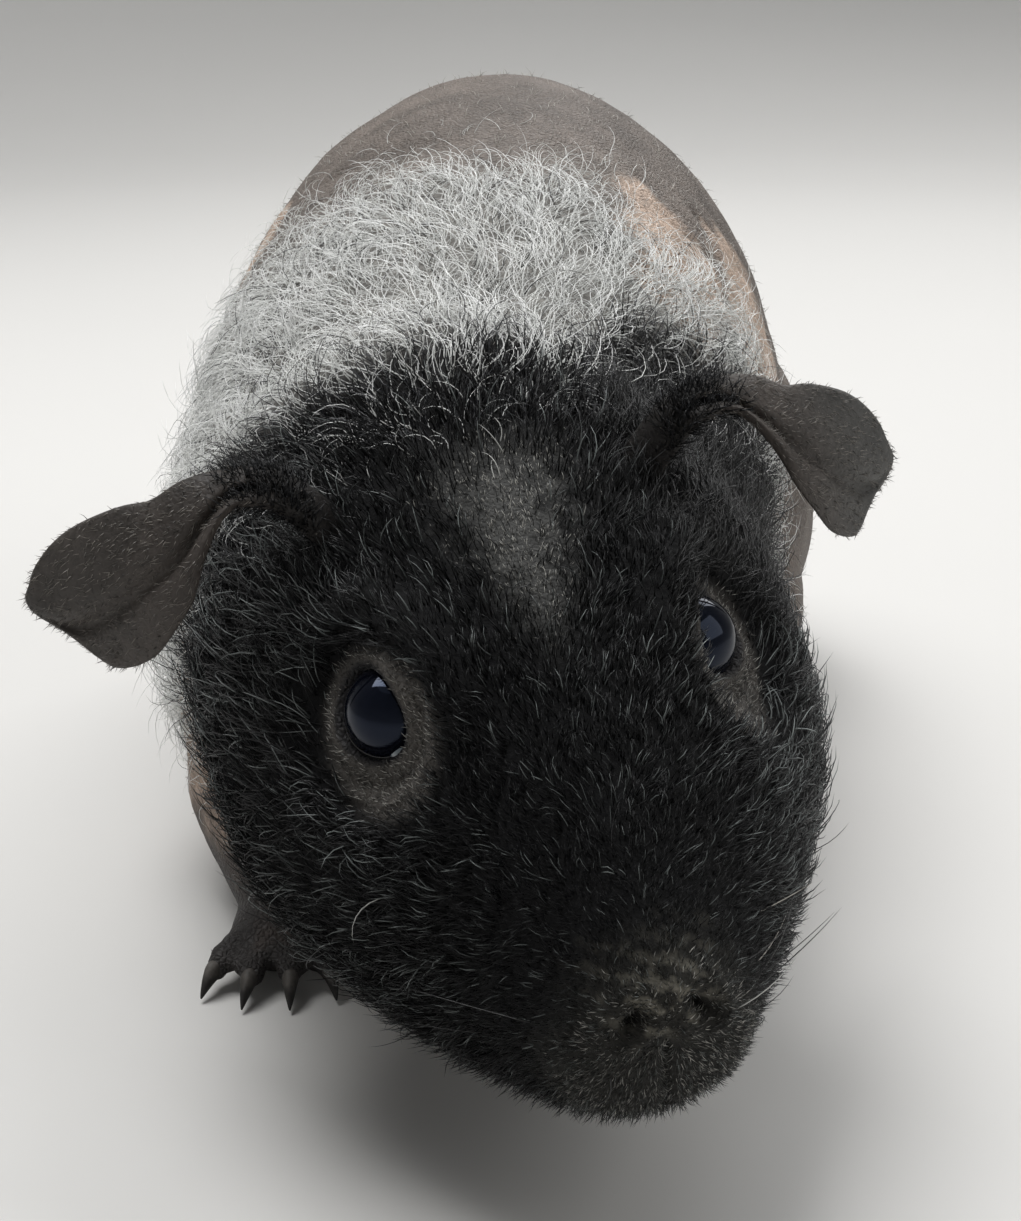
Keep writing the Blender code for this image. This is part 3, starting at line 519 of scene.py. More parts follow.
def hair_material(name):
    """Hair: each strand's own tint through the hair group, made once for each finish."""
    if name in bpy.data.materials:
        return bpy.data.materials[name]
    streak, gloss = HAIR_FINISHES[name]
    material, tree, shader = new_material(name)
    group = node(tree, "ShaderNodeGroup", node_tree=hair_shade())
    tree.links.new(tint_of(tree).outputs["Color"], group.inputs["Tint"])
    group.inputs["Streak"].default_value = streak
    tree.links.new(group.outputs["Color"], shader.inputs["Base Color"])
    tree.links.new(group.outputs["Roughness"], shader.inputs["Roughness"])
    shader.inputs["Specular IOR Level"].default_value = gloss
    return material


# Skin.

def torso_surface():
    """Torso: superellipses of smoothed sizes, carried along y from rump to neck."""
    fine = smooth_rows(TORSO_SECTIONS, TORSO_ROWS)
    along, back, belly, wide, shift = (fine[:, k:k + 1] for k in range(5))
    back, belly = back * BACK_HEIGHT, belly * BACK_HEIGHT
    level = belly + WIDEST_LEVEL * (back - belly)
    turn = np.linspace(0, 2 * math.pi, LOFT_SIDES, endpoint=False)[None]
    x, z = superellipse(turn, wide * BODY_HALF_WIDTH, back - level, level - belly,
                        BACK_ROUNDNESS, BELLY_ROUNDNESS)
    rings = np.stack((x + shift * BODY_HALF_WIDTH, REAR_Y - along * TORSO_LENGTH + 0 * x,
                      z + level), -1)
    return closed_loft(rings + CENTRING)


def head_surface():
    """Head: superellipses of smoothed sizes, carried along its own axis and turned with it."""
    fine = smooth_rows(HEAD_SECTIONS, HEAD_ROWS)
    ahead, brow, jaw, wide, low = (fine[:, k:k + 1] for k in range(5))
    level = low * CHEEK_LEVEL
    turn = np.linspace(0, 2 * math.pi, LOFT_SIDES, endpoint=False)[None]
    x, z = superellipse(turn, wide * HEAD_HALF_WIDTH, brow * BROW_HEIGHT - level,
                        jaw * JAW_DEPTH + level, BROW_ROUNDNESS, JAW_ROUNDNESS)
    return closed_loft(to_world(np.stack((x, -ahead + 0 * x, z + level), -1)))


def toe_paths(side, front, shape):
    """Middle lines and radii of a foot's toes: fanned, arched and bent down to the floor."""
    out = OUT[side]
    if front:
        px, py = FORE_PAWS[side][:2]
    else:
        px, py = out * HIND_X * 1.02, HIND_TOE_Y + 6
    count, root, length, fan = FRONT_TOES if front else HIND_TOES
    root_y = py - root
    along, up, thick = np.array(shape).T
    paths = []
    for i in range(count):
        share = i - (count - 1) / 2
        heading = share * fan + out * 0.06
        reach = length * (1 - 0.10 * abs(share)) * along
        x = px + share * TOE_SPACING + math.sin(heading) * reach
        y = root_y + 0.9 * abs(share) - math.cos(heading) * reach
        paths.append((np.column_stack((x, y, up)) + CENTRING, TOE_RADIUS * thick))
    return paths


def limb_surfaces(side):
    """Arm, palm, thigh and knee as ellipsoids, forearm, sole and toes as tubes, of one side."""
    out = OUT[side]
    px, py, ex, ey = FORE_PAWS[side]
    hx = out * HIND_X
    made = [
        blob(np.array((ex - out, ey + 2, 27)) + CENTRING, UPPER_ARM),
        tube(np.array(((ex, ey + 3, 17), (ex, ey - 8, 14), (px + out, py + 6, 7.5))) + CENTRING,
             FOREARM),
        blob(np.array((px, py + 0.8, 4.4)) + CENTRING, PALM),
        blob(np.array((hx * 0.93, 56, 32)) + CENTRING, THIGH, turned(0, -THIGH_LEAN)),
        blob(np.array((hx * 1.03, 40, 20)) + CENTRING, KNEE),
        tube(np.array(((hx, HIND_HEEL_Y, SOLE_LEVEL), (hx * 1.01, 58, SOLE_LEVEL),
                       (hx * 1.02, HIND_TOE_Y + 7, 4.2))) + CENTRING, SOLE),
    ]
    for front in (True, False):
        for path, radii in toe_paths(side, front, TOE_SHAPE):
            made.append(tube(path, radii, 14, 5))
    return made


def eye_axes(side):
    """Centre and rows (towards the nose, across, along the gaze) of an eye, in the head's axes."""
    gaze = unit(mirrored(EYE_FACING, side))
    ahead = np.array((0, -1.0, 0))
    ahead = unit(ahead - gaze * ahead.dot(gaze))
    shift = mirrored(EYE_SHIFT[side], side)
    return mirrored(EYE_PLACE, side) + shift, np.stack((ahead, np.cross(gaze, ahead), gaze))


def eye_long_axes(side):
    """The same with rows across the opening, along it, which is fore and aft, and on the gaze."""
    centre, rows = eye_axes(side)
    gaze = rows[2]
    long = unit(np.array((0, 1.0, 0)) - gaze * gaze[1])
    return centre, np.stack((np.cross(long, gaze), long, gaze))


def lid_place(head_points, side):
    """Places in an eye's long axes, and distances from its gaze by the oval of the opening."""
    centre, rows = eye_long_axes(side)
    local = (head_points - centre) @ rows.T
    return local, np.hypot(local[:, 0], local[:, 1] / LID_STRETCH[side])


def eye_ring(head_points, side):
    """1 in the bare ring, an oval round an eye, fading to 0 at its edge."""
    centre, rows = eye_axes(side)
    local = (head_points - centre) @ rows.T
    middle, half = RING_SHAPE[side]
    far = np.hypot((local[:, 0] - RING_AHEAD) / RING_HALF_LENGTH,
                   (OUT[side] * local[:, 1] - middle) / half)
    return smoothstep(1.1, 0.8, far) * (local[:, 2] > -2)


def eye_rings(head_points):
    """The greater of both sides' rings."""
    return np.maximum(eye_ring(head_points, "left"), eye_ring(head_points, "right"))


def lid_margin(head_points):
    """1 on the dark margins of the lids, fading with distance from the opening."""
    found = np.zeros(len(head_points))
    for side in OUT:
        local, distance = lid_place(head_points, side)
        found = np.maximum(found, smoothstep(4.9, 4.2, distance) * (local[:, 2] > -3))
    return found


def brow_wedge(head_points):
    """1 on the thinly haired wedge of the forehead: its width grows with the distance behind the
    nose, and noise breaks its edge."""
    x, y, z = head_points.T
    reach = np.clip((y + 7) / 26, 0, 1.3)
    middle = -0.6 + 1.2 * reach
    ragged = 0.35 * smooth_noise(head_points, 4, 17) + 0.25 * smooth_noise(head_points, 1.5, 18)
    return (smoothstep(1.5, 0.2, np.abs(x - middle) / (1.2 + 6.2 * reach) + ragged)
            * smoothstep(-9, 1, y) * smoothstep(27, 13, y) * (z > 5))


def ear_shadow_reach(head_points):
    """How much further back the black skin and fur go on the left, behind and below the ear: painted
    shadow of the left ear over neck and shoulder.
    """
    x = head_points[:, 0]
    return 12 * smoothstep(14, 25, x) + 4 * smoothstep(26, 36, x)


def nape_place(head_points, step):
    """Place along the head, moved back by a step at the middle and by the painted shadow of the left
    ear.
    """
    return (head_points[:, 1] + step * bell(head_points[:, 0], 3, 12)
            - ear_shadow_reach(head_points))


def head_share(head_points):
    """1 on the furred head, fading to 0 behind the jaw and at the nape, which reaches further back on
    the left as painted shadow of the ear.
    """
    x, y, z = head_points.T
    # The left side's extra reach is painted shadow of the ear, in black skin and fur.
    reach = 0.12 * np.abs(x) + ear_shadow_reach(head_points)
    return smoothstep(38.5, 29.5, y - reach) * smoothstep(-33, -27, z)


def coat_depth(points):
    """How far the skin lies inside the solids: the fur's depth on the head, little elsewhere."""
    h = to_head(points)
    depth = np.interp(h[:, 1], *FUR_DEPTH)
    depth = depth * (1 - 0.25 * brow_wedge(h)) * (1 - 0.1 * eye_rings(h))
    share = head_share(h)
    return share * depth + (1 - share) * 0.25


def sculpt_eyes(points):
    """Height of the skin over each eye's plane: the lid profile by distance, with folds as sines
    of the angle, and lower at both ends of the opening."""
    h = to_head(points)
    far, rise = np.array(LID_PROFILE).T
    for side in OUT:
        centre, rows = eye_long_axes(side)
        local, distance = lid_place(h, side)
        near = (distance < 13) & (local[:, 2] > -4)
        angle = np.arctan2(local[:, 1], local[:, 0])
        wave = 0.12 * np.sin(3 * angle + 1) + 0.10 * np.sin(11 * angle + 3 * distance)
        wave = wave * smoothstep(5.0, 7.5, distance)
        dip = 1.35 * np.sin(angle) ** 2 * smoothstep(8.0, 4.6, distance)
        wanted = np.interp(distance, far, rise) + wave - dip
        share = smoothstep(12.5, 8.0, distance) * near
        local[:, 2] += (wanted - local[:, 2]) * share
        h = np.where(near[:, None], local @ rows + centre, h)
    return to_world(h)


def sculpt_nose(points, normals):
    """Moves along the normal, each a bell over its middle line: nostrils in, their rims out, and
    the grooves of the cleft and of the mouth, a parabola that falls to both sides."""
    h = to_head(points)
    move = np.zeros(len(points))
    for side in OUT:
        local = h - mirrored(NOSTRIL, side)
        lean = math.radians(OUT[side] * 38)
        across = local[:, 0] * math.cos(lean) + local[:, 2] * math.sin(lean)
        along = -local[:, 0] * math.sin(lean) + local[:, 2] * math.cos(lean)
        near = np.hypot(across / 0.75, along / 1.7)
        move -= 2.6 * bell(near, 0, 1) * (h[:, 1] < -30)
        rim = np.hypot(across / 1.6, along / 2.7)
        move += 0.45 * bell(rim, 1.15, 0.35) * (h[:, 1] < -30)
    front = h[:, 1] < -28
    cleft = bell(h[:, 0] + 0.05 * h[:, 2], 0, 0.5)
    move -= 1.0 * cleft * smoothstep(-9.5, -6, h[:, 2]) * smoothstep(6.5, 3.5, h[:, 2]) * front
    line = -7.0 - 0.045 * h[:, 0] ** 2
    mouth = bell(h[:, 2], line, 0.6) * smoothstep(11, 8, np.abs(h[:, 0]))
    move -= 1.1 * mouth * smoothstep(-12, -16, h[:, 1])
    return points + normals * move[:, None]


def body_folds(points):
    """Height of soft folds behind the elbows, before the thighs and on the rump: narrow valleys
    where a sine of a warped place crosses zero."""
    x, y, z = points.T
    bare = 1 - head_share(to_head(points))
    side = smoothstep(12, 30, np.abs(x))
    warp = 3.0 * smooth_noise(points, 30, 5, 2)
    flank = np.sin((y + 0.45 * z + warp) * 0.42)
    flank = 0.3 - bell(flank, 0, 0.3) * bell(y, 12, 20)
    thigh = np.sin((y * 0.7 - z * 0.7 + warp) * 0.36)
    thigh = 0.3 - bell(thigh, 0, 0.3) * bell(y, 27, 12)
    rump = bell(np.sin((z + 0.3 * y + warp) * 0.30), 0, 0.25)
    rump = rump * smoothstep(66, 84, y) * smoothstep(60, 30, z)
    soft = smooth_noise(points, 16, 8, 3)
    return bare * (0.65 * side * flank + 0.5 * side * thigh - 0.4 * rump + 0.2 * soft)


def normals_of(points, faces):
    """Mean of the faces round each point, weighted by their areas."""
    a, b, c = (points[faces[:, k]] for k in range(3))
    face = np.cross(b - a, c - a)
    total = np.stack([np.bincount(faces.ravel(), np.repeat(face[:, k], 3), len(points))
                      for k in range(3)], -1)
    return unit(total)


def refined(mesh, regions):
    """Splits the edges near each (centre, radius, cuts), then makes every face a triangle."""
    work = bmesh.new()
    work.from_mesh(mesh)
    for centre, radius, cuts in regions:
        place = np.array([vert.co for vert in work.verts]) / MM
        near = np.linalg.norm(place - centre, axis=1) < radius
        edges = [e for e in work.edges if near[e.verts[0].index] and near[e.verts[1].index]]
        bmesh.ops.subdivide_edges(work, edges=edges, cuts=cuts, use_grid_fill=True)
        work.verts.index_update()
    bmesh.ops.triangulate(work, faces=work.faces)
    work.to_mesh(mesh)
    work.free()


def arrays_of(mesh):
    """Points in millimetres and corners of a mesh of triangles."""
    points = np.zeros(len(mesh.vertices) * 3, np.float32)
    mesh.vertices.foreach_get("co", points)
    faces = np.zeros(len(mesh.polygons) * 3, np.int32)
    mesh.polygons.foreach_get("vertices", faces)
    return points.reshape(-1, 3).astype(float) / MM, faces.reshape(-1, 3)


def skin_arrays(voxel):
    """Points and faces of the one skin: fused from its forms, refined at the face and sculpted."""
    surfaces = [torso_surface(), head_surface(), blob(to_world(CHIN_PLACE), CHIN_SIZE, HEAD_TURN)]
    for side in OUT:
        surfaces.append(blob(to_world(mirrored(LIP_PLACE, side)), LIP_SIZE, HEAD_TURN))
        surfaces += limb_surfaces(side)
    obj = mesh_from("fusing", *merged(surfaces))
    remesh = obj.modifiers.new("fuse", "REMESH")
    remesh.mode, remesh.voxel_size = "VOXEL", voxel
    relax = obj.modifiers.new("relax", "SMOOTH")
    relax.factor, relax.iterations = 0.5, 7
    graph = bpy.context.evaluated_depsgraph_get()
    mesh = bpy.data.meshes.new_from_object(obj.evaluated_get(graph))
    bpy.data.objects.remove(obj)
    regions = [(to_world(eye_axes(side)[0] + eye_axes(side)[1][2] * 5), 10.5, 2)
               for side in OUT]
    regions.append((to_world(np.array((0, -36.0, 1.0))), 13.5, 1))
    refined(mesh, regions)
    points, faces = arrays_of(mesh)
    bpy.data.meshes.remove(mesh)
    points -= normals_of(points, faces) * coat_depth(points)[:, None]
    points += normals_of(points, faces) * body_folds(points)[:, None]
    points = sculpt_nose(points, normals_of(points, faces))
    points = sculpt_eyes(points)
    points[:, 2] = np.maximum(points[:, 2], 0.02)
    return points, faces


def blend(base, over, share):
    """Colours mixed point by point: base where share is 0, over where it is 1."""
    return base + (np.array(over) - base) * share[:, None]


def inside(points, centre, radii, seed, ragged=0.25):
    """1 within an ellipsoid whose edge is broken by noise, fading over a narrow band."""
    far = np.linalg.norm((points - np.array(centre)) / np.array(radii), axis=1)
    rough = smooth_noise(points, 14, seed) + 0.4 * smooth_noise(points, 4, seed + 70)
    return smoothstep(1.25, 0.75, far + ragged * rough)


def mantle_share(points):
    """1 where the curly mantle is dense, fading backwards over the shoulders and down the sides."""
    x, y, z = points.T
    h = to_head(points)
    edge = 3 + 10 * smoothstep(10, 34, np.abs(x + 3)) + 5 * smooth_noise(points, 18, 31)
    return (smoothstep(edge + 12, edge - 14, y) * smoothstep(12, 30, z)
            * smoothstep(20, 31, nape_place(h, 4)))


def skin_tint(points):
    """Markings of the skin: grey-brown, paler below, pale patches, and a black mask and paws; the
    mask's reach behind the left ear is painted shadow.
    """
    x, y, z = points.T
    h = to_head(points)
    cloud = smooth_noise(points, 34, 3)
    tint = np.array(BODY_GREY) * (1 + 0.22 * cloud)[:, None]
    tint = blend(tint, BELLY_PINK, 0.75 * smoothstep(30, 8, z + 4 * cloud)
                 * smoothstep(40, 28, np.abs(x)))
    tint = blend(tint, UNDER_MANTLE, mantle_share(points) * 0.8)
    tint = blend(tint, UNDER_NAPE, smoothstep(48, 36, h[:, 1]) * (h[:, 2] > -26))
    pale = np.zeros(len(points))
    for centre, radii, seed, strength in PALE_PATCHES:
        pale = np.maximum(pale, strength * inside(points, centre, radii, seed))
    tint = blend(tint, PATCH_PINK, pale)
    ragged = 3 * smooth_noise(points, 9, 16)
    feet = smoothstep(19, 6, z + ragged) * (y < -10)
    hind = smoothstep(17, 6, z + ragged) * (y > 20) * smoothstep(22, 30, np.abs(x))
    tint = blend(tint, FRONT_FOOT, feet)
    tint = blend(tint, HIND_FOOT, hind)
    head = head_share(h)
    tint = blend(tint, MASK, head)
    tint = blend(tint, WEDGE, brow_wedge(h) * head)
    tint = blend(tint, RING, eye_rings(h))
    tint = blend(tint, LID, lid_margin(h))
    muzzle = smoothstep(-30, -36, h[:, 1] + 1.5 * smooth_noise(points, 6, 21))
    tint = blend(tint, MUZZLE, muzzle * head)
    pad = np.exp(-(h[:, 0] / 4.2) ** 2 - ((h[:, 2] - 9.5) / 2.6) ** 2) * (h[:, 1] < -30)
    spots = smoothstep(0.1, 0.5, smooth_noise(points, 2.2, 22, 2))
    tint = blend(tint, NOSE_SPOTS, pad * (0.04 + 0.6 * spots))
    return np.clip(tint, 0.004, 1)


def skin_bareness(points):
    """1 on bare skin, 0 under fur, between on the thinly haired parts."""
    h = to_head(points)
    bare = np.maximum(eye_rings(h), 0.6 * brow_wedge(h))
    return (1 - head_share(h) * (1 - bare)) * (1 - 0.8 * mantle_share(points))


# Ears, eyes and claws.

def ear_face(side, inner):
    """Grid of one face of an ear, s from root to tip and t from rear to front edge: a bowed sheet
    between the two edges, with a valley at the crease, the band before it folded over, and half
    the thickness added or taken away."""
    rows, columns = 56, 44
    table = smooth_rows(EAR_SECTIONS, rows)
    rear, front, rise = table[:, None, :3], table[:, None, 3:6], table[:, None, 6:]
    s = np.linspace(0, 1, rows)[:, None, None]
    front = rear + (front - rear) * (0.5 + 0.5 * smoothstep(0.25, 0.43, s))
    bulge = 1.3 * bell(s, 0.70, 0.15) - 0.6 * bell(s, 0.48, 0.05)
    rear = rear - unit(front - rear) * bulge
    t = np.linspace(0, 1, columns)[None, :, None]
    along = np.gradient((table[:, :3] + table[:, 3:6]) / 2, axis=0)[:, None]
    out = unit(np.cross(along, front - rear))
    out = out * np.where(out[..., 2:] + out[..., :1] < 0, -1, 1)
    bow = 4 * t * (1 - t)
    crease = 0.50 + 0.08 * s
    band = smoothstep(0, 1, (t - crease) / (1 - crease)) * (t > crease)
    fade = smoothstep(1.0, 0.78, s)
    valley = -1.2 * bell(t, crease, 0.07) * smoothstep(0.10, 0.3, s) * fade
    fold = 2.0 * band * smoothstep(0.05, 0.3, s) * fade
    wave = 0.3 * np.sin(9 * t + 5 * s) * s * fade
    thick = (1.0 - 0.5 * s) * (0.3 + 0.7 * bow**0.5) * (1 - s**8) ** 0.5
    lift = rise * bow + valley + fold + wave + (-0.5 if inner else 0.5) * thick
    curl = 1.2 * band**3 * smoothstep(0.1, 0.4, s) * fade
    points = rear + (front - rear) * t + out * lift - unit(front - rear) * curl
    points = points + unit(along) * 1.6 * bow * smoothstep(0.7, 1.0, s)
    return mirrored(points + s**1.5 * np.array(EAR_SWING[side]), side)


def ear_surface(side):
    """Petal closed round its two faces, row by row from root to tip."""
    rings = np.concatenate((ear_face(side, False), ear_face(side, True)[:, ::-1]), axis=1)
    return closed_loft(to_world(rings))


def eyeball_surface(side):
    """Ball as rings round the gaze, with its radius raised in a bell at the front."""
    centre, rows = eye_axes(side)
    lat = np.linspace(0.01, 0.99, 48)[:, None] * math.pi
    lon = np.linspace(0, 2 * math.pi, 72, endpoint=False)[None]
    radius = EYE_RADIUS + CORNEA_RISE * bell(lat, 0, 0.6)
    ball = np.stack((radius * np.sin(lat) * np.cos(lon), radius * np.sin(lat) * np.sin(lon),
                     radius * np.cos(lat) + 0 * lon), -1)
    return closed_loft(to_world(ball @ rows + centre))


def lid_film(side):
    """Thin wet rim between lid and ball: a small oval section carried round the opening, which
    lies lower at both ends."""
    centre, rows = eye_long_axes(side)
    turn = np.linspace(0, 2 * math.pi, 96, endpoint=False)[:, None]
    around = np.linspace(0, 2 * math.pi, 8, endpoint=False)[None]
    reach = FILM_REACH + 0.14 * np.cos(around)
    ring = np.stack((reach * np.cos(turn), LID_STRETCH[side] * reach * np.sin(turn),
                     FILM_LEVEL + 0.16 * np.sin(around) - OPENING_DIP * np.sin(turn) ** 2), -1)
    count, sides = ring.shape[:2]
    i, j = np.arange(count)[:, None], np.arange(sides)[None]
    a, b = i * sides + j, i * sides + (j + 1) % sides
    c, d = (i + 1) % count * sides + (j + 1) % sides, (i + 1) % count * sides + j
    faces = np.stack((a, b, c, a, c, d), -1).reshape(-1, 3)
    points = to_world(ring.reshape(-1, 3) @ rows + centre)
    return points, outward(points - points.mean(0), faces)


def corner_membrane(side):
    """Small flat ellipsoid on the rim of an eye, at its corner's turn round the opening."""
    centre, rows = eye_long_axes(side)
    turn, reach = CORNER_TURN[side], FILM_REACH - 0.12
    place = np.array((reach * math.cos(turn), reach * LID_STRETCH[side] * math.sin(turn),
                      FILM_LEVEL + 0.05 - OPENING_DIP * math.sin(turn) ** 2))
    return blob(to_world(place @ rows + centre), CORNER_SIZE, HEAD_TURN @ rows.T, 12, 14)


def clouded(tree, shader, first, second, **values):
    """Base colour mixed of two by a noise."""
    place = node(tree, "ShaderNodeTexCoord").outputs["Object"]
    mix = node(tree, "ShaderNodeMix", {"Factor": noise(tree, place, **values)}, data_type="RGBA")
    mix.inputs[MIX_FIRST].default_value = (*first, 1)
    mix.inputs[MIX_SECOND].default_value = (*second, 1)
    tree.links.new(mix.outputs[MIX_RESULT], shader.inputs["Base Color"])


def gloss_material(name, colour, roughness, coat, shine=0.5):
    """Wet surface: its tint darkened in soft clouds, with a clear coat."""
    material, tree, shader = new_material(name)
    clouded(tree, shader, colour, [0.35 * v for v in colour], Scale=450.0, Detail=3.0)
    shader.inputs["Roughness"].default_value = roughness
    shader.inputs["Coat Weight"].default_value = coat
    shader.inputs["Coat Roughness"].default_value = 0.03
    shader.inputs["Specular IOR Level"].default_value = shine
    return material


# Coat.

def scatter(points, faces, share, count, rng):
    """Random points and normals on a mesh: a face is drawn by its area times its share, and a
    place in it by two random weights."""
    a, b, c = (points[faces[:, k]] for k in range(3))
    area = np.linalg.norm(np.cross(b - a, c - a), axis=1) * share[faces].mean(1)
    pick = np.searchsorted(np.cumsum(area / area.sum()), rng.random(count))
    pick = np.minimum(pick, len(faces) - 1)
    u, v = rng.random((2, count, 1))
    u, v = np.where(u + v > 1, 1 - u, u), np.where(u + v > 1, 1 - v, v)
    a, b, c = faces[pick].T
    root, normal = (values[a] * (1 - u - v) + values[b] * u + values[c] * v
                    for values in (points, normals_of(points, faces)))
    return root, unit(normal)


def strands(root, normal, lie, length, thick, lift, bend, twist, stations, sink):
    """Closed three-sided strands: each is a chain of steps that start at its lift over the skin,
    turn down by bend and sideways by twist as they go, and get thinner towards a point."""
    count = len(root)
    lie = unit(lie - normal * np.sum(lie * normal, 1)[:, None])
    side = np.cross(normal, lie)
    s = np.linspace(0, 1, stations)[None]
    rise = (lift[:, None] - bend[:, None] * s)[..., None]
    head = (twist[:, None] * (s - 0.5))[..., None]
    flat = np.cos(head) * lie[:, None] + np.sin(head) * side[:, None]
    step = np.cos(rise) * flat + np.sin(rise) * normal[:, None]
    half = (step[:, 1:] + step[:, :-1]) / 2 * (length / (stations - 1))[:, None, None]
    middle = np.concatenate((np.zeros((count, 1, 3)), np.cumsum(half, 1)), 1)
    middle += (root - normal * sink)[:, None]
    across = -np.sin(head) * lie[:, None] + np.cos(head) * side[:, None]
    up = np.cross(step, across)
    width = thick[:, None] * (1 - s[:, :-1] ** 2) ** 0.7 / 2
    turn = np.array((0.0, 1.0, 2.0))[None, None, :, None] * 2 * math.pi / 3
    ring = np.cos(turn) * across[:, :-1, None] + np.sin(turn) * up[:, :-1, None]
    rings = middle[:, :-1, None] + width[..., None, None] * ring
    points = np.concatenate((rings.reshape(count, -1, 3), middle[:, -1:]), 1)
    row = np.arange(stations - 2)[:, None] * 3
    j = np.arange(3)
    k = (j + 1) % 3
    strips = np.stack((row + j, row + k, row + 3 + k, row + j, row + 3 + k, row + 3 + j), -1)
    last = (stations - 2) * 3
    tips = np.stack((last + j, last + k, np.full(3, last + 3)), -1)
    one = np.concatenate((strips.reshape(-1, 3), tips, [[2, 1, 0]]))
    one = outward(points[0] - points[0].mean(0), one)
    faces = one[None] + (np.arange(count) * points.shape[1])[:, None, None]
    level = np.append(np.repeat(s[0, :-1], 3), 1.0)
    corner = np.append(np.tile((0.0, 0.5, 1.0), stations - 1), 0.5)
    return points, faces.reshape(-1, 3), level, corner


def drawn_hair(rng, root, normal, lie, kind):
    """Strands of one width, with length, lift, bend and twist drawn at random in that order."""
    length, width, lift, bend, twist, stations, sink = kind
    count = len(root)
    return strands(root, normal, lie, rng.uniform(*length, count), np.full(count, width),
                   rng.uniform(*lift, count), rng.uniform(*bend, count),
                   rng.normal(0, twist, count), stations, sink)


def varied(colour, low, high, count, rng):
    """One colour for each hair, times a random number between low and high."""
    return np.tile(colour, (count, 1)) * rng.uniform(low, high, (count, 1))


def coat_piece(name, root, hair, tint, tip_tint, finish, on_head):
    """Object from strands, tinted from root to tip, each one a small patch of the OFBake unwrap
    at its root's turn round the head's or the body's axis and its place along it."""
    points, faces, level, corner = hair
    colour = tint[:, None] + (tip_tint - tint)[:, None] * level[None, :, None]
    obj = mesh_from(name, points.reshape(-1, 3), faces)
    paint(obj, colour.reshape(-1, 3))
    place = to_head(root) if on_head else root - BODY_AXIS
    start, reach = HEAD_SHEET if on_head else BODY_SHEET
    around = 0.5 + np.arctan2(place[:, 0], place[:, 2]) / (2 * math.pi)
    far = (place[:, 1] + start) / reach
    spot = SHEET_MARGIN + SHEET_USED * np.column_stack((around, far))
    spot[:, 1] = np.clip(spot[:, 1], SHEET_MARGIN, SHEET_MARGIN + SHEET_USED)
    patch = np.column_stack((corner, level)) * PATCH_SIZE
    unwrap = (spot[:, None] + patch[None]).reshape(-1, 2)[faces.ravel()]
    layer = obj.data.uv_layers.new(name="OFBake")
    layer.data.foreach_set("uv", unwrap.astype(np.float32).ravel())
    return dressed(obj, hair_material(finish))


def coat_in_pieces(name, pieces, form, tint, tip_tint, stations, sink, finish, on_head):
    """A coat parted into pieces of as many strands each, one after the other from the right."""
    for i, part in enumerate(np.array_split(np.arange(len(tint)), pieces)):
        rows = [values[part] for values in form]
        coat_piece(f"{name}_{i + 1}", rows[0], strands(*rows, stations, sink), tint[part],
                   tip_tint[part], finish, on_head)


def skin_of():
    """Points and faces of the finished skin, back in millimetres."""
    return arrays_of(bpy.data.objects["skin"].data)


def head_lie(root):
    """Lie of the face's hair: it radiates from the nose, outwards more than back."""
    h = to_head(root)
    return unit((h - (0, -40, 5)) * (1.35, 1, 1)) @ HEAD_TURN.T


def swerve(lie, normal, angle):
    """Directions turned round the normals by an angle each."""
    flat = unit(lie - normal * np.sum(lie * normal, 1)[:, None])
    return (np.cos(angle)[:, None] * flat + np.sin(angle)[:, None] * np.cross(normal, flat))


def face_fur_share(points):
    """Density of the face's fur: full on the head, thin on wedge, eye rings and nostrils."""
    h = to_head(points)
    share = head_share(h) * smoothstep(-31, -27, h[:, 2])
    ring = eye_rings(h)
    share *= (1 - 0.97 * smoothstep(0.15, 0.8, ring)) * (1 - 0.72 * brow_wedge(h))
    for side in OUT:
        far = np.linalg.norm((h - mirrored(NOSTRIL, side)) / (1.2, 3, 2.0), axis=1)
        share *= smoothstep(0.8, 1.6, far)
    return share


class SKINNY_PG_body(bpy.types.PropertyGroup):
    """Sizes of the skin."""

    voxel: bpy.props.FloatProperty(
        name="Skin detail", description="Edge length of the skin's faces before refining",
        default=0.00100, min=0.0006, max=0.003, unit="LENGTH", precision=5)
    bump: bpy.props.FloatProperty(
        name="Skin bump", description="Depth of the skin's fine wrinkles", default=0.00028,
        min=0.0, max=0.001, unit="LENGTH", precision=5)


class SKINNY_PG_coat(bpy.types.PropertyGroup):
    """Amount, size and colour of the hair."""

    face_count: bpy.props.IntProperty(
        name="Face hairs", description="Short hairs from nose to brow", default=21500, min=100)
    cheek_count: bpy.props.IntProperty(
        name="Cheek hairs", description="Longer hairs of cheeks and crown", default=19500, min=100)
    mantle_count: bpy.props.IntProperty(
        name="Mantle hairs", description="Curly hairs of nape and shoulders", default=14800,
        min=100)
    fuzz_count: bpy.props.IntProperty(
        name="Body fuzz", description="Fine short hairs on the bare skin", default=6000, min=100)
    hair_width: bpy.props.FloatProperty(
        name="Hair width", description="Width of a face hair at its root", default=0.00015,
        min=0.00005, max=0.001, unit="LENGTH", precision=5)
    black: bpy.props.FloatVectorProperty(
        name="Black", description="Colour of the face's fur", subtype="COLOR", size=3,
        default=(0.0026, 0.0027, 0.0031), min=0.0, max=1.0)
    silver: bpy.props.FloatVectorProperty(
        name="Silver", description="Colour of the mantle's curls", subtype="COLOR", size=3,
        default=(0.88, 0.89, 0.86), min=0.0, max=1.0)


class SKINNY_PG_stage(bpy.types.PropertyGroup):
    """Camera, light and floor."""

    lens: bpy.props.FloatProperty(
        name="Lens", description="Focal length on a 36 mm sensor, in mm", default=64.4, min=10)
    key: bpy.props.FloatProperty(
        name="Key light", description="Power of the large soft light", default=6.0, min=0,
        unit="POWER")
    sky: bpy.props.FloatProperty(
        name="Surround", description="Strength of the even light all round", default=0.46, min=0)


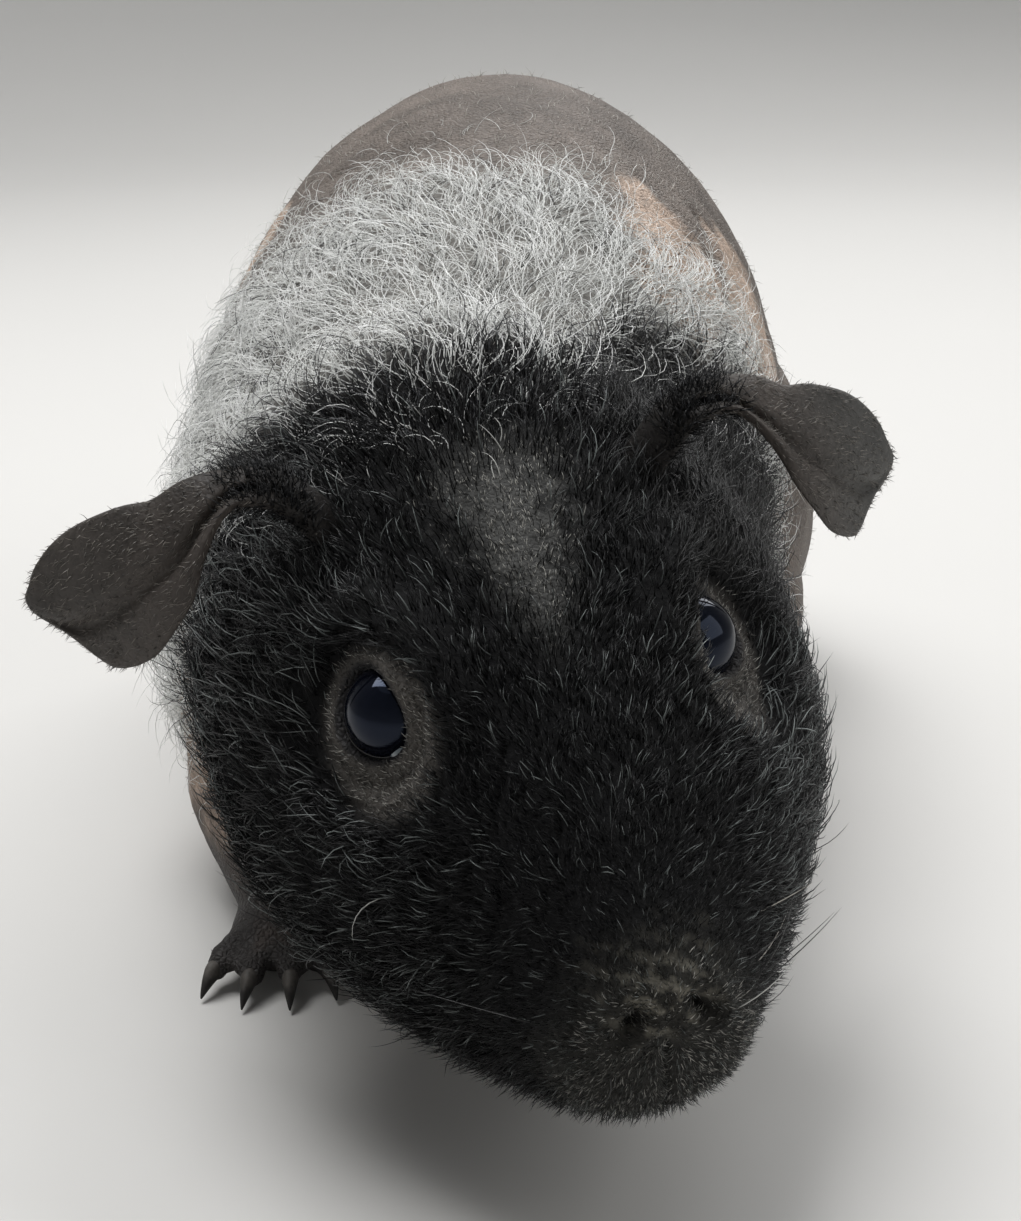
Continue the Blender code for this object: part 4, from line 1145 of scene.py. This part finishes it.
class SKINNY_OT_skin(bpy.types.Operator):
    """One skin over head, neck, torso and legs"""

    bl_idname = "skinny.skin"
    bl_label = "Skin"

    def execute(self, context):
        body = context.scene.skinny_body
        points, faces = skin_arrays(body.voxel)
        obj = mesh_from("skin", points, faces)
        paint(obj, skin_tint(points), skin_bareness(points))
        material = skin_material("bare_skin_finish", 0.32, 0.35, 1.0, body.bump)
        dressed(obj, material,
                ["head", "neck", "torso", "front_leg_left", "front_leg_right", "hind_leg_left",
                 "hind_leg_right"])
        return {"FINISHED"}


class SKINNY_OT_ears(bpy.types.Operator):
    """Thin drooping ears with a folded front band"""

    bl_idname = "skinny.ears"
    bl_label = "Ears"

    def execute(self, context):
        material = skin_material("ear_skin_finish", 0.3, 0.6, 0.6, 0.0001)
        for side in OUT:
            points, faces = ear_surface(side)
            obj = mesh_from(f"ear_{side}_skin", points, faces)
            tint = np.array(EAR) * (1 + 0.25 * smooth_noise(points, 12, 41))[:, None]
            away = np.abs(to_head(points)[:, 0])
            # Painted highlight: the ear tips turn pale grey, far more on the left ear.
            tint = blend(tint, EAR_TIP_SHEEN, TIP_SHEEN_STRENGTH[side] * smoothstep(30, 44, away))
            tint = blend(tint, EAR_ROOT, smoothstep(27, 20, away))
            paint(obj, tint)
            dressed(obj, material, [f"ear_{side}"])
        return {"FINISHED"}


class SKINNY_OT_eyes(bpy.types.Operator):
    """Dark wet eyes, the rims of tear film and the pale corner membrane"""

    bl_idname = "skinny.eyes"
    bl_label = "Eyes"

    def execute(self, context):
        # Painted reflection: the bluish base colour and the blue specular tint stand for a blue
        # surround mirrored in the wet eye.
        ball = gloss_material("eye_finish", (0.0030, 0.0038, 0.0080), 0.05, 0.0, 0.3)
        ball.node_tree.nodes["Principled BSDF"].inputs["Specular Tint"].default_value = (
            0.56, 0.68, 0.98, 1.0)
        film = gloss_material("tear_finish", (0.02, 0.018, 0.018), 0.1, 0.6)
        wet = gloss_material("membrane_finish", (0.30, 0.36, 0.40), 0.18, 0.8)
        for side in OUT:
            obj = mesh_from(f"eyeball_{side}", *eyeball_surface(side))
            dressed(obj, ball, [f"eye_{side}"])
            obj = mesh_from(f"tear_rim_{side}", *lid_film(side))
            dressed(obj, film)
            obj = mesh_from(f"corner_membrane_{side}", *corner_membrane(side))
            dressed(obj, wet)
        return {"FINISHED"}


class SKINNY_OT_claws(bpy.types.Operator):
    """Claws of all four feet"""

    bl_idname = "skinny.claws"
    bl_label = "Claws"

    def execute(self, context):
        material = skin_material("claw_finish", 0.45, 0.0, 0.4, 0.00005)
        for side in OUT:
            for front in (True, False):
                claws = [tube(path, radii, 14, 6, 1.25, False)
                         for path, radii in toe_paths(side, front, CLAW_SHAPE)]
                points, faces = merged(claws)
                points[:, 2] = np.maximum(points[:, 2], 0.05)
                foot = "front" if front else "hind"
                obj = mesh_from(f"claws_{foot}_{side}", points, faces)
                paint(obj, blend(np.array(CLAW), CLAW_TOP,
                                 smoothstep(2.2, 3.2, points[:, 2]) * 0.6))
                dressed(obj, material)
        return {"FINISHED"}


class SKINNY_OT_face_fur(bpy.types.Operator):
    """Short black curly fur of the head"""

    bl_idname = "skinny.face_fur"
    bl_label = "Face fur"

    def execute(self, context):
        coat = context.scene.skinny_coat
        rng = np.random.default_rng(3)
        skin = skin_of()
        h = to_head(skin[0])
        front = smoothstep(-2, -14, h[:, 1] + 0.7 * np.abs(h[:, 0]) - 10)
        dense = face_fur_share(skin[0]) * np.interp(h[:, 1], *FUR_DENSITY)
        self.grow("face_fur", coat.face_count, 4, dense * front, skin, coat, rng)
        self.grow("cheek_fur", coat.cheek_count, 5, dense * (1 - front), skin, coat, rng)
        return {"FINISHED"}

    def grow(self, name, count, stations, share, skin, coat, rng):
        """Three pieces of strands whose length, lift and curl follow their place on the head: longer
        and flatter towards cheeks and jaw, swung in clumps, and black but for a share of grey, which
        stands partly for real grey hairs and partly for painted glints, grows on the cheeks, most on
        the left, as painted light, and shrinks under the left ear as painted shade."""
        root, normal = scatter(*skin, share, count, rng)
        h = to_head(root)
        order = np.argsort(h[:, 0])
        root, normal, h = root[order], normal[order], h[order]
        size = np.interp(h[:, 1], *FUR_LENGTH)
        cheek = smoothstep(10, 24, np.abs(h[:, 0]))
        jaw = smoothstep(-2, -12, h[:, 2])
        size = size * (1 + 0.45 * cheek + 0.7 * jaw)
        size = size * (1 - 0.5 * brow_wedge(h)) * (1 - 0.6 * eye_rings(h))
        length = size * rng.uniform(0.6, 1.3, count)
        clump = smooth_noise(root, 5, 51, 2)
        lie = swerve(head_lie(root), normal, rng.normal(0, 0.35, count) + 0.6 * clump)
        lift = rng.uniform(1.0, 1.5, count) * (1 - 0.35 * cheek)
        bend = rng.uniform(0.3, 1.3, count) + 0.5 * cheek
        twist = rng.normal(0, 0.7, count) + 0.8 * clump
        thick = (coat.hair_width / MM * rng.uniform(0.75, 1.25, count)
                 * np.clip(size / 3, 0.6, 1))
        black = np.tile(coat.black, (count, 1))
        pick = rng.random(count)[:, None]
        # Grey hairs: partly real grey hairs, partly painted glints; the cheeks get more of them, the
        # left cheek most, as painted light.
        grey = rng.uniform(0.025, 0.13, (count, 1)) * (0.94, 1.03, 1.01)
        # Painted shade under the left ear: fewer grey hairs there and the fur's tint darkened.
        ear_shade = smoothstep(4, 14, h[:, 1] + 0.8 * h[:, 2]) * smoothstep(8, 18, h[:, 0])
        lit_cheek_share = (0.10 * cheek + 0.18 * smoothstep(12, 24, h[:, 0])) * (1 - ear_shade)
        share = (0.11 + lit_cheek_share) * (1 - 0.8 * ear_shade)
        tint = np.where(pick < share[:, None], grey, black)
        tint = tint * rng.uniform(0.5, 1.7, (count, 1)) * (1 - 0.6 * ear_shade[:, None])
        nose = smoothstep(-31, -37, h[:, 1])[:, None]
        tint = tint + nose * np.array((0.021, 0.022, 0.019)) * rng.uniform(0, 1.4, (count, 1))
        coat_in_pieces(name, 3, (root, normal, lie, length, thick, lift, bend, twist), tint,
                       tint * 1.8 + 0.001, stations, 0.35, "face_fur_finish", True)


class SKINNY_OT_mantle(bpy.types.Operator):
    """Curly silver mantle of nape and shoulders"""

    bl_idname = "skinny.mantle"
    bl_label = "Mantle"

    # Strands that lie back and down and turn to one side in clumps, shorter and finer where the
    # mantle gets thin, and mostly dark on the nape.
    def execute(self, context):
        coat = context.scene.skinny_coat
        rng = np.random.default_rng(7)
        points, faces = skin_of()
        count = coat.mantle_count
        y, z = points[:, 1], points[:, 2]
        wisps = 0.05 * smoothstep(24, 8, y) * smoothstep(40, 60, z) * (y > -60)
        share = np.maximum(mantle_share(points), wisps * (to_head(points)[:, 1] > 40))
        root, normal = scatter(points, faces, share, count, rng)
        order = np.argsort(root[:, 0])
        root, normal = root[order], normal[order]
        h = to_head(root)
        nape = smoothstep(46, 28, nape_place(h, 5) + 4 * smooth_noise(root, 9, 61))
        clump = smooth_noise(root, 7, 62, 2)
        back = np.stack((0.02 * root[:, 0], np.ones(count), -0.35 * np.abs(root[:, 0]) / 40), -1)
        lie = swerve(back, normal, 0.9 * clump + rng.normal(0, 0.35, count))
        dense = 0.55 + 0.45 * mantle_share(root)
        length = rng.uniform(6.5, 12.5, count) * (1 - 0.3 * nape) * dense
        lift = rng.uniform(0.25, 0.85, count)
        bend = rng.uniform(0.5, 1.5, count)
        twist = 2.6 * np.sign(clump + 0.15 * rng.normal(size=count)) * rng.uniform(0.3, 1.3, count)
        thick = (coat.hair_width / MM) * rng.uniform(0.65, 1.0, count) * dense
        silver = varied(coat.silver, 0.70, 1.2, count, rng)
        dark = varied(coat.black, 2, 16, count, rng)
        pick = rng.random((count, 1))
        tint = np.where(pick < 0.75 * nape[:, None] + 0.06, dark, silver)
        coat_in_pieces("mantle", 4, (root, normal, lie, length, thick, lift, bend, twist),
                       tint * 0.92, np.clip(tint * 1.2, 0, 0.95), 7, 0.5, "mantle_finish",
                       False)
        return {"FINISHED"}


class SKINNY_OT_fuzz(bpy.types.Operator):
    """Fine short hair on ears, legs, rump and face, and the whiskers"""

    bl_idname = "skinny.fuzz"
    bl_label = "Fuzz and whiskers"

    def execute(self, context):
        coat = context.scene.skinny_coat
        rng = np.random.default_rng(13)
        points, faces = skin_of()
        self.body(points, faces, coat.fuzz_count, rng)
        self.ears(coat.black, rng)
        self.stubble(points, faces, rng)
        self.long_hairs(points, faces, rng)
        self.whiskers(rng)
        return {"FINISHED"}

    def body(self, points, faces, count, rng):
        """Sparse pale fuzz that lies back over the bare skin, darker and shorter on the feet."""
        h = to_head(points)
        share = (1 - head_share(h)) * (points[:, 2] > 1.2)
        root, normal = scatter(points, faces, share, count, rng)
        low = smoothstep(18, 8, root[:, 2])
        lie = np.stack((0.1 * rng.normal(size=count), np.ones(count), np.full(count, -0.3)), -1)
        lie = swerve(lie, normal, rng.normal(0, 0.4, count))
        length = rng.uniform(1.2, 2.8, count) * (1 - 0.5 * low)
        tint = varied((0.42, 0.40, 0.36), 0.5, 1.3, count, rng)
        tint = blend(tint, (0.04, 0.036, 0.034), low)
        hair = strands(root, normal, lie, length, np.full(count, 0.09),
                       rng.uniform(0.4, 0.9, count), rng.uniform(0.3, 1.0, count),
                       rng.normal(0, 0.5, count), 3, 0.2)
        coat_piece("body_fuzz", root, hair, tint, tint, "fuzz_finish", False)

    def stubble(self, points, faces, rng):
        """Very short pale hair on the eye rings, the brow's wedge and round the nose."""
        h = to_head(points)
        muzzle = smoothstep(-33, -37, h[:, 1]) * (h[:, 2] > -8)
        share = np.maximum(eye_rings(h) * (1 - lid_margin(h)), brow_wedge(h) * head_share(h))
        share = np.maximum(share, 0.8 * muzzle)
        root, normal = scatter(points, faces, share, STUBBLE_COUNT, rng)
        lie = swerve(head_lie(root), normal, rng.normal(0, 0.5, STUBBLE_COUNT))
        tint = np.array((0.17, 0.165, 0.15)) * rng.uniform(0.15, 1.6, (STUBBLE_COUNT, 1)) ** 2
        hair = drawn_hair(rng, root, normal, lie, STUBBLE)
        coat_piece("stubble", root, hair, tint, tint, "fuzz_finish", True)

    def ears(self, black, rng):
        """Very short hair on both faces and the edges of the ears, and dark fur at their roots."""
        for side in OUT:
            points, faces = ear_surface(side)
            away = np.abs(to_head(points)[:, 0])
            count = EAR_FUZZ_COUNT
            root, normal = scatter(points, faces, smoothstep(21, 25, away), count, rng)
            lie = np.tile(mirrored((0.8, 0.15, -0.6), side) @ HEAD_TURN.T, (count, 1))
            lie = swerve(lie, normal, rng.normal(0, 0.5, count))
            tint = varied((0.09, 0.082, 0.072), 0.2, 2.6, count, rng)
            hair = drawn_hair(rng, root, normal, lie, EAR_FUZZ)
            coat_piece(f"ear_fuzz_{side}", root, hair, tint, tint, "fuzz_finish",
                       True)
            share = smoothstep(28, 23, away) * smoothstep(17, 20, away)
            count = EAR_ROOT_COUNT
            root, normal = scatter(points, faces, share, count, rng)
            lie = swerve(head_lie(root), normal, rng.normal(0, 0.6, count))
            tint = varied(black, 0.6, 3.0, count, rng)
            hair = drawn_hair(rng, root, normal, lie, EAR_ROOT_FUR)
            coat_piece(f"ear_root_fur_{side}", root, hair, tint, tint * 1.6, "face_fur_finish",
                       True)

    def long_hairs(self, points, faces, rng):
        """Scattered long pale hairs of crown and brow, and dark ones along the jaw, with a crest
        that stands before the left ear and a few loops between the ears."""
        count = LONG_COUNT
        h = to_head(points)
        head = head_share(h)
        crown = head * smoothstep(4, 24, h[:, 1]) * (h[:, 2] > 4)
        jaw = head * smoothstep(-2, -12, h[:, 2]) * smoothstep(-36, -26, h[:, 1])
        crest = np.exp(-((h[:, 0] - 17) / 4) ** 2 - ((h[:, 1] - 25) / 4) ** 2) * (h[:, 2] > 8)
        loops = np.exp(-((h[:, 0] - 6) / 6) ** 2 - ((h[:, 1] - 30) / 5) ** 2) * (h[:, 2] > 8)
        share = (crown + 1.6 * jaw + 0.06 * head + 6 * crest + 4 * loops) * (1 - eye_rings(h))
        for side in OUT:
            far = np.linalg.norm(h - eye_axes(side)[0], axis=1)
            share = share * smoothstep(13, 17, far)
        root, normal = scatter(points, faces, share, count, rng)
        h = to_head(root)
        lie = swerve(head_lie(root), normal, rng.normal(0, 0.7, count))
        pale = (rng.random((count, 1)) < 0.45) & (h[:, 2:] > -4) & (h[:, :1] < 13)
        tint = np.where(pale, (0.40, 0.40, 0.38), (0.010, 0.010, 0.011))
        stand = (h[:, 0] > 11) & (h[:, 1] > 18) & (h[:, 2] > 8)
        hair = strands(root, normal, lie, rng.uniform(4, 9, count) + 2 * stand,
                       np.full(count, 0.14), rng.uniform(0.6, 1.1, count) + 0.3 * stand,
                       rng.uniform(0.6, 1.8, count) * (1 - 0.6 * stand),
                       rng.normal(0, 1.5, count) * (1 - 0.7 * stand), 8, 0.4)
        coat_piece("long_hairs", root, hair, tint, tint, "long_finish", True)

    def whiskers(self, rng):
        """Thin whiskers that sweep back and out from the lips."""
        count = WHISKER_COUNT
        out = np.where(np.arange(count) % 2, 1.0, -1.0)
        place = np.column_stack((out * rng.uniform(9.5, 12.5, count),
                                 rng.uniform(-33, -27, count), rng.uniform(-5, 5, count)))
        root = to_world(place)
        normal = unit(np.column_stack((out, rng.uniform(-0.4, 0.1, count),
                                       rng.uniform(-0.3, 0.1, count)))) @ HEAD_TURN.T
        lie = np.column_stack((0 * out, np.ones(count), rng.uniform(-0.3, 0.1, count)))
        lie = lie @ HEAD_TURN.T
        pale = rng.random((count, 1)) < 0.15
        tint = np.where(pale, (0.36, 0.34, 0.30), (0.012, 0.012, 0.012))
        hair = drawn_hair(rng, root, normal, lie, WHISKERS)
        coat_piece("whiskers", root, hair, tint, tint, "long_finish", True)


class SKINNY_OT_stage(bpy.types.Operator):
    """Camera, soft light, and a pale floor that sweeps up behind"""

    bl_idname = "skinny.stage"
    bl_label = "Stage"

    def execute(self, context):
        scene, stage = context.scene, context.scene.skinny_stage
        lens = bpy.data.cameras.new("camera")
        lens.lens, lens.sensor_width = stage.lens, SENSOR_WIDTH
        lens.clip_start, lens.clip_end = 0.01, 20.0
        camera = bpy.data.objects.new("camera", lens)
        camera.location = CAMERA_PLACE
        camera.rotation_euler = (math.radians(90 - CAMERA_DOWN), 0, 0)
        scene.collection.objects.link(camera)
        scene.camera = camera
        scene.view_settings.view_transform = "Standard"
        scene.cycles.max_bounces, scene.cycles.diffuse_bounces = 4, 2
        for name, (place, size, share) in LIGHTS.items():
            self.light(name, place, size, stage.key * share)
        world = bpy.data.worlds.new("surround")
        world.use_nodes = True
        back = world.node_tree.nodes["Background"]
        back.inputs["Color"].default_value = SKY_COLOUR
        back.inputs["Strength"].default_value = stage.sky
        scene.world = world
        self.sweep()
        return {"FINISHED"}

    def light(self, name, place, size, power):
        """Square area light at a place, turned to the animal."""
        lamp = bpy.data.lights.new(name, "AREA")
        lamp.size, lamp.energy = size, power
        obj = bpy.data.objects.new(name, lamp)
        obj.location = place
        aim = Vector(LIGHT_AIM) - Vector(place)
        obj.rotation_euler = aim.to_track_quat("-Z", "Y").to_euler()
        bpy.context.scene.collection.objects.link(obj)

    def sweep(self):
        """Floor profile that turns up through a quarter circle into a wall, carried once round
        the middle."""
        bow = np.linspace(0, math.pi / 2, 20)
        reach = np.concatenate(([0.5, 400.0], FLOOR_FLAT + FLOOR_BEND * np.sin(bow),
                                [FLOOR_FLAT + FLOOR_BEND]))
        rise = np.concatenate(([0.0, 0.0], FLOOR_BEND - FLOOR_BEND * np.cos(bow), [WALL_TOP]))
        turn = np.linspace(0, 2 * math.pi, 120, endpoint=False)[:, None]
        points = np.stack((reach * np.cos(turn), reach * np.sin(turn), rise + 0 * turn), -1)
        count, per = points.shape[:2]
        i, j = np.arange(count)[:, None], np.arange(per - 1)[None]
        k = (i + 1) % count
        faces = np.stack((i * per + j, i * per + j + 1, k * per + j + 1, k * per + j), -1)
        floor = mesh_from("floor", points.reshape(-1, 3), faces.reshape(-1, 4))
        material, tree, shader = new_material("floor_finish")
        clouded(tree, shader, (0.66, 0.65, 0.63), (0.70, 0.69, 0.67), Scale=3.0)
        shader.inputs["Roughness"].default_value = 0.8
        floor.data.materials.append(material)


class SKINNY_PT_panel(bpy.types.Panel):
    """Settings and build steps of the model"""

    bl_label = "Skinny Pig"
    bl_idname = "SKINNY_PT_panel"
    bl_space_type = "VIEW_3D"
    bl_region_type = "UI"
    bl_category = "Skinny Pig"

    def draw(self, context):
        """A box of settings for each group, then a button for each step."""
        for group in (context.scene.skinny_body, context.scene.skinny_coat,
                      context.scene.skinny_stage):
            box = self.layout.box()
            for name in group.__annotations__:
                box.prop(group, name)
        for step in STEPS:
            self.layout.operator(step.bl_idname)


SETTINGS = {"skinny_body": SKINNY_PG_body, "skinny_coat": SKINNY_PG_coat,
            "skinny_stage": SKINNY_PG_stage}
STEPS = (SKINNY_OT_skin, SKINNY_OT_ears, SKINNY_OT_eyes, SKINNY_OT_claws, SKINNY_OT_face_fur,
         SKINNY_OT_mantle, SKINNY_OT_fuzz, SKINNY_OT_stage)


def register():
    """Registers every class and hangs the settings on the scene."""
    for made in (*SETTINGS.values(), *STEPS, SKINNY_PT_panel):
        bpy.utils.register_class(made)
    for name, group in SETTINGS.items():
        setattr(bpy.types.Scene, name, bpy.props.PointerProperty(type=group))


def unregister():
    """Takes the settings and the classes away again."""
    for name in SETTINGS:
        delattr(bpy.types.Scene, name)
    for made in (SKINNY_PT_panel, *reversed(STEPS), *SETTINGS.values()):
        bpy.utils.unregister_class(made)


def main():
    """Runs the steps in order."""
    register()
    skinny = bpy.ops.skinny
    for step in (skinny.skin, skinny.ears, skinny.eyes, skinny.claws, skinny.face_fur,
                 skinny.mantle, skinny.fuzz, skinny.stage):
        step()


if __name__ == "__main__":
    main()
